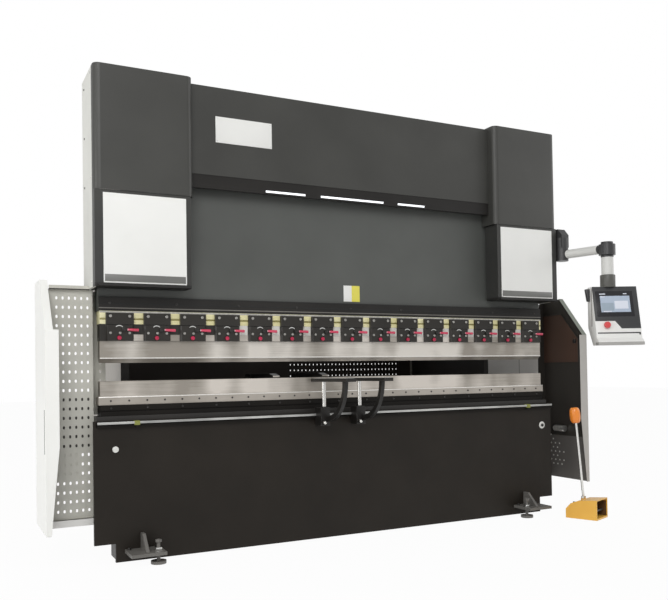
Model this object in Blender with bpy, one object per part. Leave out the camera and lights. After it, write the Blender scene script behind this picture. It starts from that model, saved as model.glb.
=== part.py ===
"""Hydraulic press brake with a table of about 3.2 metres, built in metres.

X runs along the bending length with the machine's right as plus, the front
faces minus Y, and Z is up from the floor. The origin is on the floor under
the base tie, at mid length. Every object is one closed piece, and pieces that
touch on the real machine stand one narrow seam apart.
"""
import math

import bpy
from mathutils import Matrix, Vector

# sizes that several pieces share
GAP = 0.0003             # seam between pieces that touch
LENGTH = 3.200           # over the two tower covers
HEIGHT = 2.695           # top of the tower covers
SHEET = 0.003            # folded sheet of covers and guards
PLATE = 0.050            # thickness of the side frame plates
BEAM = 0.100             # thickness of the ram plate

APRON_FRONT = -0.800     # the front plate of the bed
COVER_FRONT = APRON_FRONT - 0.100
BEND_Y = -0.725          # bending line: punch nose over the vee

HALF = LENGTH / 2
TOOL_HALF = HALF - 0.045
FRAME_MID = HALF - 0.255
FRAME_IN = FRAME_MID - PLATE / 2
FRAME_OUT = FRAME_MID + PLATE / 2

DIE_TOP = 0.992          # height at which the sheet lies
DIE_HIGH = 0.086
RAIL_HIGH = 0.046        # die rail under the die
TABLE_HIGH = 0.060       # crowning table under the die rail
OPEN_HIGH = 0.100        # gap between vee die and punch nose as pictured
CLAMP_LOW = DIE_TOP + OPEN_HIGH + 0.121
CLAMP_HIGH = 0.154
RAM_LOW = CLAMP_LOW + CLAMP_HIGH + 0.012
TOWER_SPLIT = 2.019      # seam between the dark cover and the lower cover
LOWER_BOTTOM = 1.500     # underside of the lower tower cover
TOWER_IN = HALF - 0.542  # inner side of the tower covers

SIDES = (("left", -1), ("right", 1))

for old in list(bpy.data.objects):
    bpy.data.objects.remove(old)


def mesh_object(verts, faces):
    """Make a mesh object from points and faces that already face outwards."""
    mesh = bpy.data.meshes.new("piece")
    mesh.from_pydata([tuple(v) for v in verts], [], faces)
    mesh.update()
    item = bpy.data.objects.new("piece", mesh)
    bpy.context.scene.collection.objects.link(item)
    return item


def prism(axis, outline, low, high):
    """Extrude a flat outline along one axis.

    The outline holds (y, z) points for X, (x, z) for Y and (x, y) for Z.
    """
    low, high = min(low, high), max(low, high)
    count = len(outline)
    turn = sum(outline[i][0] * outline[(i + 1) % count][1]
               - outline[(i + 1) % count][0] * outline[i][1] for i in range(count))
    points = list(outline) if turn > 0 else list(reversed(outline))
    if axis == "x":
        verts = [(t, p[0], p[1]) for t in (low, high) for p in points]
    elif axis == "y":
        verts = [(p[0], t, p[1]) for t in (low, high) for p in points]
    else:
        verts = [(p[0], p[1], t) for t in (low, high) for p in points]
    faces = [list(reversed(range(count))), list(range(count, 2 * count))]
    for i in range(count):
        j = (i + 1) % count
        faces.append([i, j, j + count, i + count])
    if axis == "y":
        faces = [list(reversed(face)) for face in faces]
    return mesh_object(verts, faces)


def block(x0, x1, y0, y1, z0, z1):
    """A box from its three pairs of bounds, in any order."""
    return prism("z", [(x0, y0), (x1, y0), (x1, y1), (x0, y1)], z0, z1)


def arc(cx, cy, radius, start, end, steps):
    """Points of an arc in degrees, both ends included."""
    points = []
    for k in range(steps + 1):
        a = math.radians(start + (end - start) * k / steps)
        points.append((cx + radius * math.cos(a), cy + radius * math.sin(a)))
    return points


def disc(axis, centre, radius, low, high, sides=24):
    """A round bar along one axis, with flats towards the other two axes."""
    ring = arc(centre[0], centre[1], radius, 180 / sides, 360 - 180 / sides, sides - 1)
    return prism(axis, ring, low, high)


def tube_between(start, end, radius, sides=20):
    """A round bar between two points in space."""
    start, end = Vector(start), Vector(end)
    line = end - start
    item = disc("z", (0, 0), radius, 0, line.length, sides)
    turn = line.to_track_quat("Z", "Y").to_matrix().to_4x4()
    item.data.transform(Matrix.Translation(start) @ turn)
    return item


def body(name, first, add=(), cut=()):
    """Join and cut pieces into one closed body and give it its name."""
    steps = [(piece, "UNION") for piece in add] + [(piece, "DIFFERENCE") for piece in cut]
    for piece, how in steps:
        step = first.modifiers.new("step", "BOOLEAN")
        step.operation = how
        step.solver = "EXACT"
        step.object = piece
    if steps:
        graph = bpy.context.evaluated_depsgraph_get()
        baked = bpy.data.meshes.new_from_object(first.evaluated_get(graph))
        first.modifiers.clear()
        first.data = baked
        for piece, how in steps:
            bpy.data.objects.remove(piece)
    first.name = name
    first.data.name = name
    return first


def turned(item, degrees, x, y):
    """Turn a piece about the upright axis and set it down at x, y."""
    item.data.transform(Matrix.Translation((x, y, 0)) @ Matrix.Rotation(math.radians(degrees), 4, "Z"))
    return item


# Side frames: thick cut plates, open to the front at the throat. Each carries
# the runner that guides the ram and stands on a rear foot plate.
FRAME_BACK = 0.650
FRAME_TOP = HEIGHT - 0.095
BACK_SLOPE = 0.250
RAM_FRONT = BEND_Y - 0.020
RAM_BACK = RAM_FRONT + BEAM
RUNNER = 0.035
RUN_GAP = 0.0004         # running clearance behind the ram
JAW_TOP_FRONT = RAM_BACK + RUN_GAP + RUNNER
BED_BACK = APRON_FRONT + 0.140
THROAT_BACK = -0.400
THROAT_TOP = 1.400
THROAT_ROUND = 0.090
TABLE_LOW = DIE_TOP - DIE_HIGH - RAIL_HIGH - TABLE_HIGH
FOOT_HALF = 0.095
for side, s in SIDES:
    outline = [(BED_BACK + GAP, 0.0), (FRAME_BACK, 0.0), (FRAME_BACK, FRAME_TOP - BACK_SLOPE),
               (FRAME_BACK - BACK_SLOPE, FRAME_TOP), (JAW_TOP_FRONT, FRAME_TOP),
               (JAW_TOP_FRONT, THROAT_TOP)]
    outline += arc(THROAT_BACK - THROAT_ROUND, THROAT_TOP - THROAT_ROUND, THROAT_ROUND, 90, 0, 6)
    outline += arc(THROAT_BACK - THROAT_ROUND, TABLE_LOW + THROAT_ROUND, THROAT_ROUND, 0, -90, 6)
    outline += [(BED_BACK + GAP, TABLE_LOW)]
    body(side + "_side_frame",
         prism("x", outline, s * FRAME_IN, s * FRAME_OUT),
         add=[block(s * (FRAME_IN - 0.040), s * (FRAME_OUT + 0.040), RAM_BACK + RUN_GAP,
                    JAW_TOP_FRONT + 0.020, LOWER_BOTTOM, LOWER_BOTTOM + 0.280),
              block(s * (FRAME_MID - FOOT_HALF), s * (FRAME_MID + FOOT_HALF),
                    FRAME_BACK - 0.060, FRAME_BACK + 0.120, 0.0, 0.020)])

# Bed: the upright lower beam between apron and side frames, with the two guides
# that carry the back gauge reaching out behind it.
SKIN = 0.020             # thickness of the apron plate
BED_HALF = HALF - 0.020
GUIDE_X = 0.990
GUIDE_TOP = 0.400
CROSS_FRONT = 0.480
body("bed",
     block(-BED_HALF, BED_HALF, APRON_FRONT + SKIN, BED_BACK, 0.020, TABLE_LOW - GAP),
     add=[block(s * (GUIDE_X - 0.040), s * (GUIDE_X + 0.040), BED_BACK - 0.010,
                CROSS_FRONT - GAP, GUIDE_TOP - 0.100, GUIDE_TOP) for side, s in SIDES])

# Front apron: one dark plate, notched at both lower corners.
NOTCH_LONG = 0.113
NOTCH_HIGH = 0.108
APRON_TOP = TABLE_LOW - 0.025
apron = [(-HALF, NOTCH_HIGH), (NOTCH_LONG - HALF, NOTCH_HIGH), (NOTCH_LONG - HALF, 0.006),
         (HALF - NOTCH_LONG, 0.006), (HALF - NOTCH_LONG, NOTCH_HIGH), (HALF, NOTCH_HIGH),
         (HALF, APRON_TOP), (-HALF, APRON_TOP)]
body("front_apron", prism("y", apron, APRON_FRONT, APRON_FRONT + SKIN - GAP))

# Crowning table: the adjustable bar under the die rail, two wedge strips deep.
TABLE_TOP = TABLE_LOW + TABLE_HIGH - GAP
body("crowning_table",
     block(-TOOL_HALF, TOOL_HALF, BEND_Y - 0.047, BEND_Y + 0.055, TABLE_LOW, TABLE_TOP),
     cut=[block(-HALF, HALF, BEND_Y - 0.080, BEND_Y - 0.041, TABLE_LOW + 0.024,
                TABLE_LOW + 0.030)])

# Die rail: ground bar with the slot that takes the tang of the die.
DIE_LOW = DIE_TOP - DIE_HIGH
TANG_HALF = 0.0060
TANG_DEEP = 0.018
RAIL_BOTTOM = TABLE_TOP + GAP
body("die_rail",
     block(-TOOL_HALF - 0.010, TOOL_HALF + 0.010, BEND_Y - 0.040, BEND_Y + 0.040,
           RAIL_BOTTOM, DIE_LOW - GAP),
     cut=[block(-LENGTH, LENGTH, BEND_Y - TANG_HALF - GAP, BEND_Y + TANG_HALF + GAP,
                DIE_LOW - TANG_DEEP - GAP, DIE_LOW + 0.010)])

# Vee die: square block with one open vee, small bevels and the tang below.
DIE_HALF = 0.030
VEE_HALF = 0.016
EDGE = 0.002
die = [(-DIE_HALF, DIE_LOW), (-TANG_HALF, DIE_LOW), (-TANG_HALF, DIE_LOW - TANG_DEEP),
       (TANG_HALF, DIE_LOW - TANG_DEEP), (TANG_HALF, DIE_LOW), (DIE_HALF, DIE_LOW),
       (DIE_HALF, DIE_TOP - EDGE), (DIE_HALF - EDGE, DIE_TOP), (VEE_HALF, DIE_TOP),
       (0.0015, DIE_TOP - VEE_HALF), (-0.0015, DIE_TOP - VEE_HALF), (-VEE_HALF, DIE_TOP),
       (EDGE - DIE_HALF, DIE_TOP), (-DIE_HALF, DIE_TOP - EDGE)]
body("die", prism("x", [(BEND_Y + p[0], p[1]) for p in die], -TOOL_HALF, TOOL_HALF))

# Guide rail on the apron for the sheet supports, with an end stop at each side.
RAIL_Z = APRON_TOP - 0.020
RAIL_FRONT = APRON_FRONT - 0.022
STOP_X = HALF - 0.230
body("support_rail",
     block(-HALF + 0.015, HALF - 0.015, RAIL_FRONT, APRON_FRONT - GAP,
           RAIL_Z - 0.012, RAIL_Z + 0.012),
     add=[block(s * (STOP_X - 0.010), s * (STOP_X + 0.010), RAIL_FRONT - 0.012,
                APRON_FRONT - 0.010, RAIL_Z - 0.017, RAIL_Z + 0.017) for side, s in SIDES],
     cut=[block(-LENGTH, LENGTH, RAIL_FRONT - 0.020, RAIL_FRONT + 0.004,
                RAIL_Z - 0.002, RAIL_Z + 0.002)])

# Ram: the moving upper beam with its two piston rods, and the band along its foot.
RAM_HALF = TOOL_HALF + 0.005
RAM_NECK = TOWER_IN + 0.120
RAM_SHOULDER = LOWER_BOTTOM + 0.300
RAM_TOP = TOWER_SPLIT + 0.311
CYL_Y = RAM_FRONT + BEAM / 2
ROD_R = 0.038
ram = [(-RAM_HALF, RAM_LOW), (RAM_HALF, RAM_LOW), (RAM_HALF, RAM_SHOULDER),
       (RAM_NECK, RAM_SHOULDER), (RAM_NECK, RAM_TOP), (-RAM_NECK, RAM_TOP),
       (-RAM_NECK, RAM_SHOULDER), (-RAM_HALF, RAM_SHOULDER)]
body("ram", prism("y", ram, RAM_FRONT, RAM_BACK),
     add=[disc("z", (s * FRAME_MID, CYL_Y), ROD_R, RAM_SHOULDER - 0.010, TOWER_SPLIT + 0.131, 32)
          for side, s in SIDES])
BAND_DEEP = 0.017
body("ram_band",
     block(-RAM_HALF, RAM_HALF, RAM_FRONT - BAND_DEEP, RAM_FRONT - GAP,
           RAM_LOW + 0.003, RAM_LOW + 0.078))

# Wedge bar: two pale wedge strips, one over the other, that show between clamps.
WEDGE_LOW = CLAMP_LOW + 0.093
WEDGE_FRONT = BEND_Y - 0.040
body("wedge_bar",
     block(-TOOL_HALF, TOOL_HALF, WEDGE_FRONT, BEND_Y + 0.055, WEDGE_LOW, RAM_LOW - GAP),
     cut=[block(-HALF, HALF, WEDGE_FRONT - 0.020, WEDGE_FRONT + 0.006,
                WEDGE_LOW + 0.024, WEDGE_LOW + 0.034)])

# Clamps: fifteen quick clamps on the holder bar. Each has a pressure block over a
# clamping plate, with a groove between, cheek bevels and a round button seat.
CLAMPS = 15
CLAMP_PITCH = (2 * TOOL_HALF - 0.005) / CLAMPS
CLAMP_WIDE = 0.151
CLAMP_FRONT = BEND_Y - 0.060
CLAMP_TOP = CLAMP_LOW + CLAMP_HIGH
CLAMP_STEP = 0.004       # the clamping plate stands this far behind the block
SPLIT_Z = CLAMP_LOW + 0.092
BUTTON_Z = CLAMP_LOW + 0.024
TANG_UP = 0.020
adds = []
cuts = []
for i in range(CLAMPS):
    x = (i - (CLAMPS - 1) / 2) * CLAMP_PITCH
    w = CLAMP_WIDE / 2
    bevel = 0.008
    plate = [(x - w, WEDGE_FRONT + 0.010), (x - w, CLAMP_FRONT + CLAMP_STEP + bevel),
             (x - w + bevel, CLAMP_FRONT + CLAMP_STEP), (x + w - bevel, CLAMP_FRONT + CLAMP_STEP),
             (x + w, CLAMP_FRONT + CLAMP_STEP + bevel), (x + w, WEDGE_FRONT + 0.010)]
    head = [(x - w, WEDGE_FRONT - GAP), (x - w, CLAMP_FRONT), (x + w, CLAMP_FRONT),
            (x + w, WEDGE_FRONT - GAP)]
    adds.append(prism("z", plate, CLAMP_LOW, SPLIT_Z - 0.001))
    adds.append(prism("z", head, SPLIT_Z - 0.004, CLAMP_TOP))
    cuts.append(block(x - w - 0.01, x + w + 0.01, CLAMP_FRONT - 0.01, CLAMP_FRONT + 0.010,
                      SPLIT_Z - 0.006, SPLIT_Z - 0.001))
    cuts.append(disc("y", (x, BUTTON_Z), 0.010, CLAMP_FRONT - 0.010, CLAMP_FRONT + 0.008, 12))
cuts.append(block(-LENGTH, LENGTH, BEND_Y - TANG_HALF - GAP, BEND_Y + TANG_HALF + GAP,
                  CLAMP_LOW - 0.010, CLAMP_LOW + TANG_UP + GAP))
body("clamp_row",
     block(-TOOL_HALF, TOOL_HALF, WEDGE_FRONT, BEND_Y + 0.035, CLAMP_LOW, WEDGE_LOW - GAP),
     add=adds, cut=cuts)

# Punch: bar with a tapered nose, its tang held in the clamps.
NOSE = DIE_TOP + OPEN_HIGH
punch = [(-0.030, CLAMP_LOW - GAP), (-0.030, NOSE + 0.024), (-0.0035, NOSE), (0.0035, NOSE),
         (0.020, NOSE + 0.033), (0.020, CLAMP_LOW - GAP), (TANG_HALF, CLAMP_LOW - GAP),
         (TANG_HALF, CLAMP_LOW + TANG_UP - GAP), (-TANG_HALF, CLAMP_LOW + TANG_UP - GAP),
         (-TANG_HALF, CLAMP_LOW - GAP)]
body("punch", prism("x", [(BEND_Y + p[0], p[1]) for p in punch], -TOOL_HALF, TOOL_HALF))

# Cylinders: one on each side frame, bored for the piston rod, with a top cap.
CYL_R = RUN_GAP + RUNNER + BEAM / 2
CYL_LOW = TOWER_SPLIT + 0.006
CYL_TOP = HEIGHT - 0.125
for side, s in SIDES:
    c = (s * FRAME_MID, CYL_Y)
    body(side + "_cylinder",
         disc("z", c, CYL_R, CYL_LOW, CYL_TOP, 40),
         add=[disc("z", c, CYL_R * 0.7, CYL_TOP - 0.010, CYL_TOP + 0.030, 40)],
         cut=[disc("z", c, ROD_R + 0.007, CYL_LOW - 0.010, TOWER_SPLIT + 0.270, 32)])

# Tower covers: dark folded hoods over the cylinders, upright front corners rounded.
# The outer wall is only a return; a pale side panel carries on behind it. The inner
# wall stops before the ram, and only the top sheet runs on over the cylinder.
CORNER_R = 0.034
COVER_BACK = COVER_FRONT + 0.320
RETURN_BACK = COVER_FRONT + 0.070
WALL_BACK = RAM_FRONT - 0.006
SIDE_THICK = 0.015


def hood_plan(s, inside):
    """Plan of a tower cover, or of its inner side when a sheet is given."""
    x_in, x_out = TOWER_IN + inside, HALF - inside
    front, r = COVER_FRONT + inside, CORNER_R - inside
    fronts = arc(x_in + r, front + r, r, 180, 270, 5)
    fronts += arc(x_out - r, front + r, r, 270, 360, 5)
    if inside:
        plan = [(TOWER_IN - 0.020, COVER_BACK + 0.020), (TOWER_IN - 0.020, WALL_BACK),
                (x_in, WALL_BACK)] + fronts + [(x_out, COVER_BACK + 0.020)]
    else:
        plan = [(x_in, COVER_BACK)] + fronts
        plan += [(x_out, RETURN_BACK), (HALF - SIDE_THICK - GAP, RETURN_BACK),
                 (HALF - SIDE_THICK - GAP, COVER_BACK)]
    return [(s * p[0], p[1]) for p in plan]


for side, s in SIDES:
    body(side + "_tower_cover",
         prism("z", hood_plan(s, 0.0), TOWER_SPLIT, HEIGHT),
         cut=[prism("z", hood_plan(s, SHEET), TOWER_SPLIT - 0.020, HEIGHT - SHEET)])

# Lower tower covers: dark tray with a return on both sides. Its floor sheet stands
# out in front as a ledge and leaves room for the band on the rising ram.
TRAY_FRONT = COVER_FRONT + 0.005
TRAY_IN = TOWER_IN + 0.017
TRAY_DEEP = 0.025
FLOOR_HIGH = 0.013
FLOOR_BACK = RAM_FRONT - BAND_DEEP - 0.006
FLOOR_OUT = HALF - SIDE_THICK - GAP
for side, s in SIDES:
    floor_plan = [(TRAY_IN + 0.008, COVER_FRONT - 0.015), (FLOOR_OUT, COVER_FRONT - 0.015),
                  (FLOOR_OUT, COVER_BACK), (RAM_HALF + 0.007, COVER_BACK),
                  (RAM_HALF + 0.007, FLOOR_BACK), (TRAY_IN, FLOOR_BACK),
                  (TRAY_IN, TRAY_FRONT + TRAY_DEEP / 2),
                  (TRAY_IN + 0.008, TRAY_FRONT + TRAY_DEEP / 2)]
    body(side + "_lower_cover",
         block(s * TRAY_IN, s * HALF, TRAY_FRONT, TRAY_FRONT + TRAY_DEEP,
               LOWER_BOTTOM, TOWER_SPLIT - GAP),
         add=[block(s * (HALF - SHEET), s * HALF, TRAY_FRONT + 0.010, RETURN_BACK,
                    LOWER_BOTTOM, TOWER_SPLIT - GAP),
              block(s * TRAY_IN, s * (TRAY_IN + SHEET), TRAY_FRONT + 0.010, FLOOR_BACK,
                    LOWER_BOTTOM, TOWER_SPLIT - GAP),
              prism("z", [(s * p[0], p[1]) for p in floor_plan],
                    LOWER_BOTTOM, LOWER_BOTTOM + FLOOR_HIGH)])

# White plates on the lower covers.
PLATE_EDGE = 0.018
for side, s in SIDES:
    body(side + "_tower_plate",
         block(s * (TOWER_IN + 0.045), s * (HALF - 0.045), COVER_FRONT + 0.001,
               TRAY_FRONT - GAP, LOWER_BOTTOM + PLATE_EDGE, TOWER_SPLIT - PLATE_EDGE))

# Pale side panels behind the returns of the tower covers.
PANEL_BACK = RETURN_BACK + 0.290
for side, s in SIDES:
    body(side + "_side_panel",
         block(s * (HALF - SIDE_THICK), s * HALF, RETURN_BACK + GAP, PANEL_BACK,
               LOWER_BOTTOM, HEIGHT))

# Oil tank: plain box across the side frames, with a lid and a filler cap.
BEAM_TOP = HEIGHT - 0.012
TANK_TOP = BEAM_TOP - SHEET - GAP
TANK_LOW = TANK_TOP - 0.530
TANK_FRONT = -0.500
TANK_BACK = 0.050
LID_HIGH = 0.012
LID_EDGE = 0.010
FILLER = (FRAME_IN - 0.620, TANK_BACK - 0.120)
FILLER_R = 0.035
body("oil_tank",
     block(GAP - FRAME_IN, FRAME_IN - GAP, TANK_FRONT, TANK_BACK, TANK_LOW, TANK_TOP - LID_HIGH),
     add=[block(2 * LID_EDGE - FRAME_IN, FRAME_IN - 2 * LID_EDGE, TANK_FRONT + LID_EDGE,
                TANK_BACK - LID_EDGE, TANK_TOP - 2 * LID_HIGH, TANK_TOP),
          disc("z", FILLER, FILLER_R, TANK_TOP - LID_HIGH, HEIGHT - 0.001, 20)])

# Beam cover: folded front sheet between the towers, its top return on the tank.
BEAM_FRONT = COVER_FRONT + 0.070
BEAM_LOW = TOWER_SPLIT + 0.150
BEAM_HALF = TOWER_IN - GAP
body("beam_cover",
     prism("x", [(BEAM_FRONT, BEAM_LOW), (BEAM_FRONT + SHEET, BEAM_LOW),
                 (BEAM_FRONT + SHEET, BEAM_TOP - SHEET), (-0.300, BEAM_TOP - SHEET),
                 (-0.300, BEAM_TOP), (BEAM_FRONT, BEAM_TOP)], -BEAM_HALF, BEAM_HALF))

# Light strip: dark bar under the beam cover with three lamp slots.
STRIP_LOW = BEAM_LOW - 0.078
LAMPS = ((-0.594, -0.332), (-0.230, 0.220), (0.325, 0.534))
body("light_strip",
     block(-BEAM_HALF, BEAM_HALF, BEAM_FRONT + SHEET + GAP, BEAM_FRONT + 0.030,
           STRIP_LOW, BEAM_LOW + 0.130),
     cut=[block(x0, x1, BEAM_FRONT - 0.010, BEAM_FRONT + SHEET + 0.006,
                STRIP_LOW + 0.008, STRIP_LOW + 0.022) for x0, x1 in LAMPS])

# Base tie and rear cross beam between the side frames, and the rear guard sheet.
TIE_HALF = 0.070
TIE_HIGH = 0.140
CROSS_BACK = CROSS_FRONT + 0.140
CROSS_TOP = 0.420
body("base_tie",
     block(GAP - FRAME_IN, FRAME_IN - GAP, -TIE_HALF, TIE_HALF, 0.0, TIE_HIGH))
body("rear_crossbeam",
     block(GAP - FRAME_IN, FRAME_IN - GAP, CROSS_FRONT, CROSS_BACK, 0.120, CROSS_TOP))
body("rear_guard",
     block(GAP - FRAME_IN, FRAME_IN - GAP, CROSS_BACK - 0.020, CROSS_BACK - 0.020 + SHEET,
           CROSS_TOP + GAP, THROAT_TOP))

# Back gauge: a cross beam on two legs that ride the guides, and two stop fingers.
GAUGE_FRONT = -0.300
GAUGE_BACK = -0.200
GAUGE_TOP = 0.960
GAUGE_HALF = 1.100
FINGER_TIP = BEND_Y + 0.055
FINGER_TOP = DIE_TOP + 0.028
body("gauge_beam",
     block(-GAUGE_HALF, GAUGE_HALF, GAUGE_FRONT, GAUGE_BACK, GAUGE_TOP - 0.080, GAUGE_TOP),
     add=[block(s * (GUIDE_X - 0.040), s * (GUIDE_X + 0.040), GAUGE_FRONT, GAUGE_BACK,
                GUIDE_TOP + GAP, GAUGE_TOP - 0.070) for side, s in SIDES])
for name, x in (("left", -0.480), ("right", -0.143)):
    body("gauge_finger_" + name,
         block(x - 0.030, x + 0.030, GAUGE_FRONT + 0.010, GAUGE_BACK - 0.010,
               GAUGE_TOP + GAP, FINGER_TOP),
         add=[prism("x", [(GAUGE_FRONT + 0.020, FINGER_TOP), (FINGER_TIP + 0.060, FINGER_TOP),
                          (FINGER_TIP, FINGER_TOP - 0.014), (FINGER_TIP, FINGER_TOP - 0.024),
                          (GAUGE_FRONT + 0.020, FINGER_TOP - 0.030)], x - 0.022, x + 0.022)])

# Front sheet supports: bracket on the rail, silver post, shelf bar and curved strut.
SHELF_TOP = DIE_TOP - 0.007
SHELF_LOW = SHELF_TOP - 0.020
SHELF_FRONT = -1.247
SHELF_BACK = BEND_Y - 0.045
BRACKET_FRONT = APRON_FRONT - 0.105
STRUT_R = 0.245
for name, x in (("left", -0.260), ("right", -0.015)):
    body("support_bracket_" + name,
         block(x - 0.030, x + 0.030, BRACKET_FRONT, RAIL_FRONT - GAP,
               RAIL_Z - 0.055, RAIL_Z + 0.055),
         add=[disc("y", (x - 0.014, RAIL_Z - 0.036), 0.012, BRACKET_FRONT - 0.020,
                   BRACKET_FRONT + 0.010, 16),
              disc("z", (x, BRACKET_FRONT + 0.018), 0.0125, RAIL_Z + 0.045, SHELF_LOW - GAP, 20)])
    strut = arc(BRACKET_FRONT - GAP, SHELF_LOW + 0.004, STRUT_R, 270, 180, 10)
    strut += arc(BRACKET_FRONT - GAP, SHELF_LOW + 0.004, STRUT_R - 0.032, 180, 270, 10)
    body("support_arm_" + name,
         block(x - 0.030, x + 0.030, SHELF_FRONT, SHELF_BACK, SHELF_LOW, SHELF_TOP),
         add=[prism("x", strut, x + 0.008, x + 0.030)])

# Front feet: bracket plate on the apron with a gusset, and a screw down to its pad.
FOOT_LONG = 0.170
PLATE_TOP = 0.073
for side, s in SIDES:
    screw = (s * (FRAME_MID - 0.065), APRON_FRONT - 0.100)
    body(side + "_front_foot",
         block(s * (FRAME_MID - FOOT_HALF), s * (FRAME_MID + FOOT_HALF),
               APRON_FRONT - FOOT_LONG, APRON_FRONT - GAP, PLATE_TOP - 0.018, PLATE_TOP),
         add=[prism("x", [(APRON_FRONT - FOOT_LONG + 0.030, PLATE_TOP - 0.005),
                          (APRON_FRONT - GAP, PLATE_TOP - 0.005),
                          (APRON_FRONT - GAP, PLATE_TOP + 0.084),
                          (APRON_FRONT - 0.045, PLATE_TOP + 0.084)],
                    s * FRAME_MID - 0.009, s * FRAME_MID + 0.009),
              disc("z", screw, 0.010, 0.010, PLATE_TOP + 0.058, 12),
              disc("z", screw, 0.018, PLATE_TOP + 0.042, PLATE_TOP + 0.056, 6),
              disc("z", screw, 0.042, 0.0, 0.016, 24)])

# Side guards: outer sheet with a front flange that narrows towards its foot, a sloped
# top fold, and the cross panel, lipped at both ends, that carries the guard. The right
# guard has a window, closed from inside by a sloping pane.
GUARD_X = HALF + 0.255
GUARD_FRONT = -0.912
GUARD_BACK = -0.465
GUARD_LOW = 0.203
GUARD_TOP = 1.545
GUARD_SHOULDER = 1.264
SLOPE_LONG = 0.235
FOLD = 0.040
FOLD_HIGH = 0.004
FLANGE = 0.068
FLANGE_FOOT = 0.025
TAPER_TOP = 0.660
GUARD_PANEL_LOW = 0.247
GUARD_PANEL_TOP = 1.495
LIP = 0.025
LIP_DOWN = 0.037
LIP_UP = 0.020
LEFT_PANEL_Y = -0.700
RIGHT_PANEL_Y = GUARD_BACK - SHEET
PANE_THICK = 0.005
PANE_LOW = 1.070
PANE_HIGH = 0.360
PANE_FRONT = GUARD_FRONT + 0.076
PANE_REAR = RIGHT_PANEL_Y - SHEET - 0.001
pane = [(PANE_REAR, PANE_LOW), (PANE_FRONT, PANE_LOW), (PANE_FRONT, PANE_LOW + 0.170),
        (PANE_FRONT + 0.171, PANE_LOW + PANE_HIGH), (PANE_REAR, PANE_LOW + PANE_HIGH)]
pane_mid = ((PANE_REAR + PANE_FRONT) / 2, PANE_LOW + PANE_HIGH / 2)
window = [(pane_mid[0] + 0.9 * (p[0] - pane_mid[0]), pane_mid[1] + 0.9 * (p[1] - pane_mid[1]))
          for p in pane]
for side, s, panel, root in (("left", -1, LEFT_PANEL_Y, BED_HALF),
                             ("right", 1, RIGHT_PANEL_Y, FRAME_OUT)):
    slope_top = GUARD_FRONT + SLOPE_LONG
    view = [(GUARD_FRONT, GUARD_LOW), (GUARD_BACK, GUARD_LOW), (GUARD_BACK, GUARD_TOP),
            (slope_top, GUARD_TOP), (GUARD_FRONT, GUARD_SHOULDER)]
    flange = [(s * GUARD_X, GUARD_LOW), (s * (GUARD_X - FLANGE_FOOT), GUARD_LOW),
              (s * (GUARD_X - FLANGE), TAPER_TOP), (s * (GUARD_X - FLANGE), GUARD_SHOULDER),
              (s * GUARD_X, GUARD_SHOULDER)]
    fold = [(GUARD_FRONT, GUARD_SHOULDER - FOLD_HIGH), (GUARD_FRONT, GUARD_SHOULDER),
            (slope_top, GUARD_TOP), (slope_top + SHEET, GUARD_TOP),
            (GUARD_FRONT + SHEET, GUARD_SHOULDER - FOLD_HIGH)]
    openings = []
    if s > 0:
        openings.append(prism("x", window, GUARD_X - 2 * SHEET, GUARD_X + SHEET))
    body(side + "_guard",
         prism("x", view, s * GUARD_X, s * (GUARD_X - SHEET)),
         add=[prism("y", flange, GUARD_FRONT, GUARD_FRONT + SHEET),
              prism("x", fold, s * GUARD_X, s * (GUARD_X - FOLD))],
         cut=openings)
    outer, inner = s * (GUARD_X - SHEET - GAP), s * (root + GAP)
    lip_out, lip_in = s * (GUARD_X - FOLD - SHEET), s * (HALF + 0.001)
    lip_front, lip_back = panel - LIP, panel - SHEET / 2
    body(side + "_guard_panel",
         block(outer, inner, panel - SHEET, panel, GUARD_PANEL_LOW, GUARD_PANEL_TOP),
         add=[block(outer, inner, lip_front, lip_back, GUARD_PANEL_LOW, GUARD_PANEL_LOW + SHEET),
              block(outer, inner, lip_front, lip_front + SHEET, GUARD_PANEL_LOW - LIP_DOWN,
                    GUARD_PANEL_LOW + SHEET),
              block(lip_out, lip_in, lip_front, lip_back, GUARD_PANEL_TOP - SHEET,
                    GUARD_PANEL_TOP),
              block(lip_out, lip_in, lip_front, lip_front + SHEET, GUARD_PANEL_TOP - SHEET,
                    GUARD_PANEL_TOP + LIP_UP)])
body("right_guard_window",
     prism("x", pane, GUARD_X - SHEET - GAP - PANE_THICK, GUARD_X - SHEET - GAP))

# Control pendant: knuckle on the right tower, swivel arm, drop tube and panel.
PIVOT_X = HALF + 0.052
PIVOT_Y = COVER_FRONT
ELBOW_X = HALF + 0.135
ELBOW_Y = COVER_FRONT - 0.340
ARM_Z = TOWER_SPLIT - 0.184
KNUCKLE_R = 0.042
PANEL_TOP = ARM_Z - 0.248
body("pendant_bracket",
     block(HALF + GAP, HALF + 0.030, PIVOT_Y + KNUCKLE_R + 0.006, PIVOT_Y + 0.130,
           ARM_Z - 0.060, TOWER_SPLIT),
     add=[prism("x", [(PIVOT_Y - 0.035, ARM_Z + 0.050), (PIVOT_Y + 0.080, ARM_Z + 0.050),
                      (PIVOT_Y + 0.080, TOWER_SPLIT), (PIVOT_Y + 0.005, TOWER_SPLIT),
                      (PIVOT_Y - 0.035, TOWER_SPLIT - 0.045)],
                HALF + 0.018, PIVOT_X + 0.030),
          disc("z", (PIVOT_X, PIVOT_Y), KNUCKLE_R, ARM_Z + 0.040, ARM_Z + 0.120, 24)])
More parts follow.
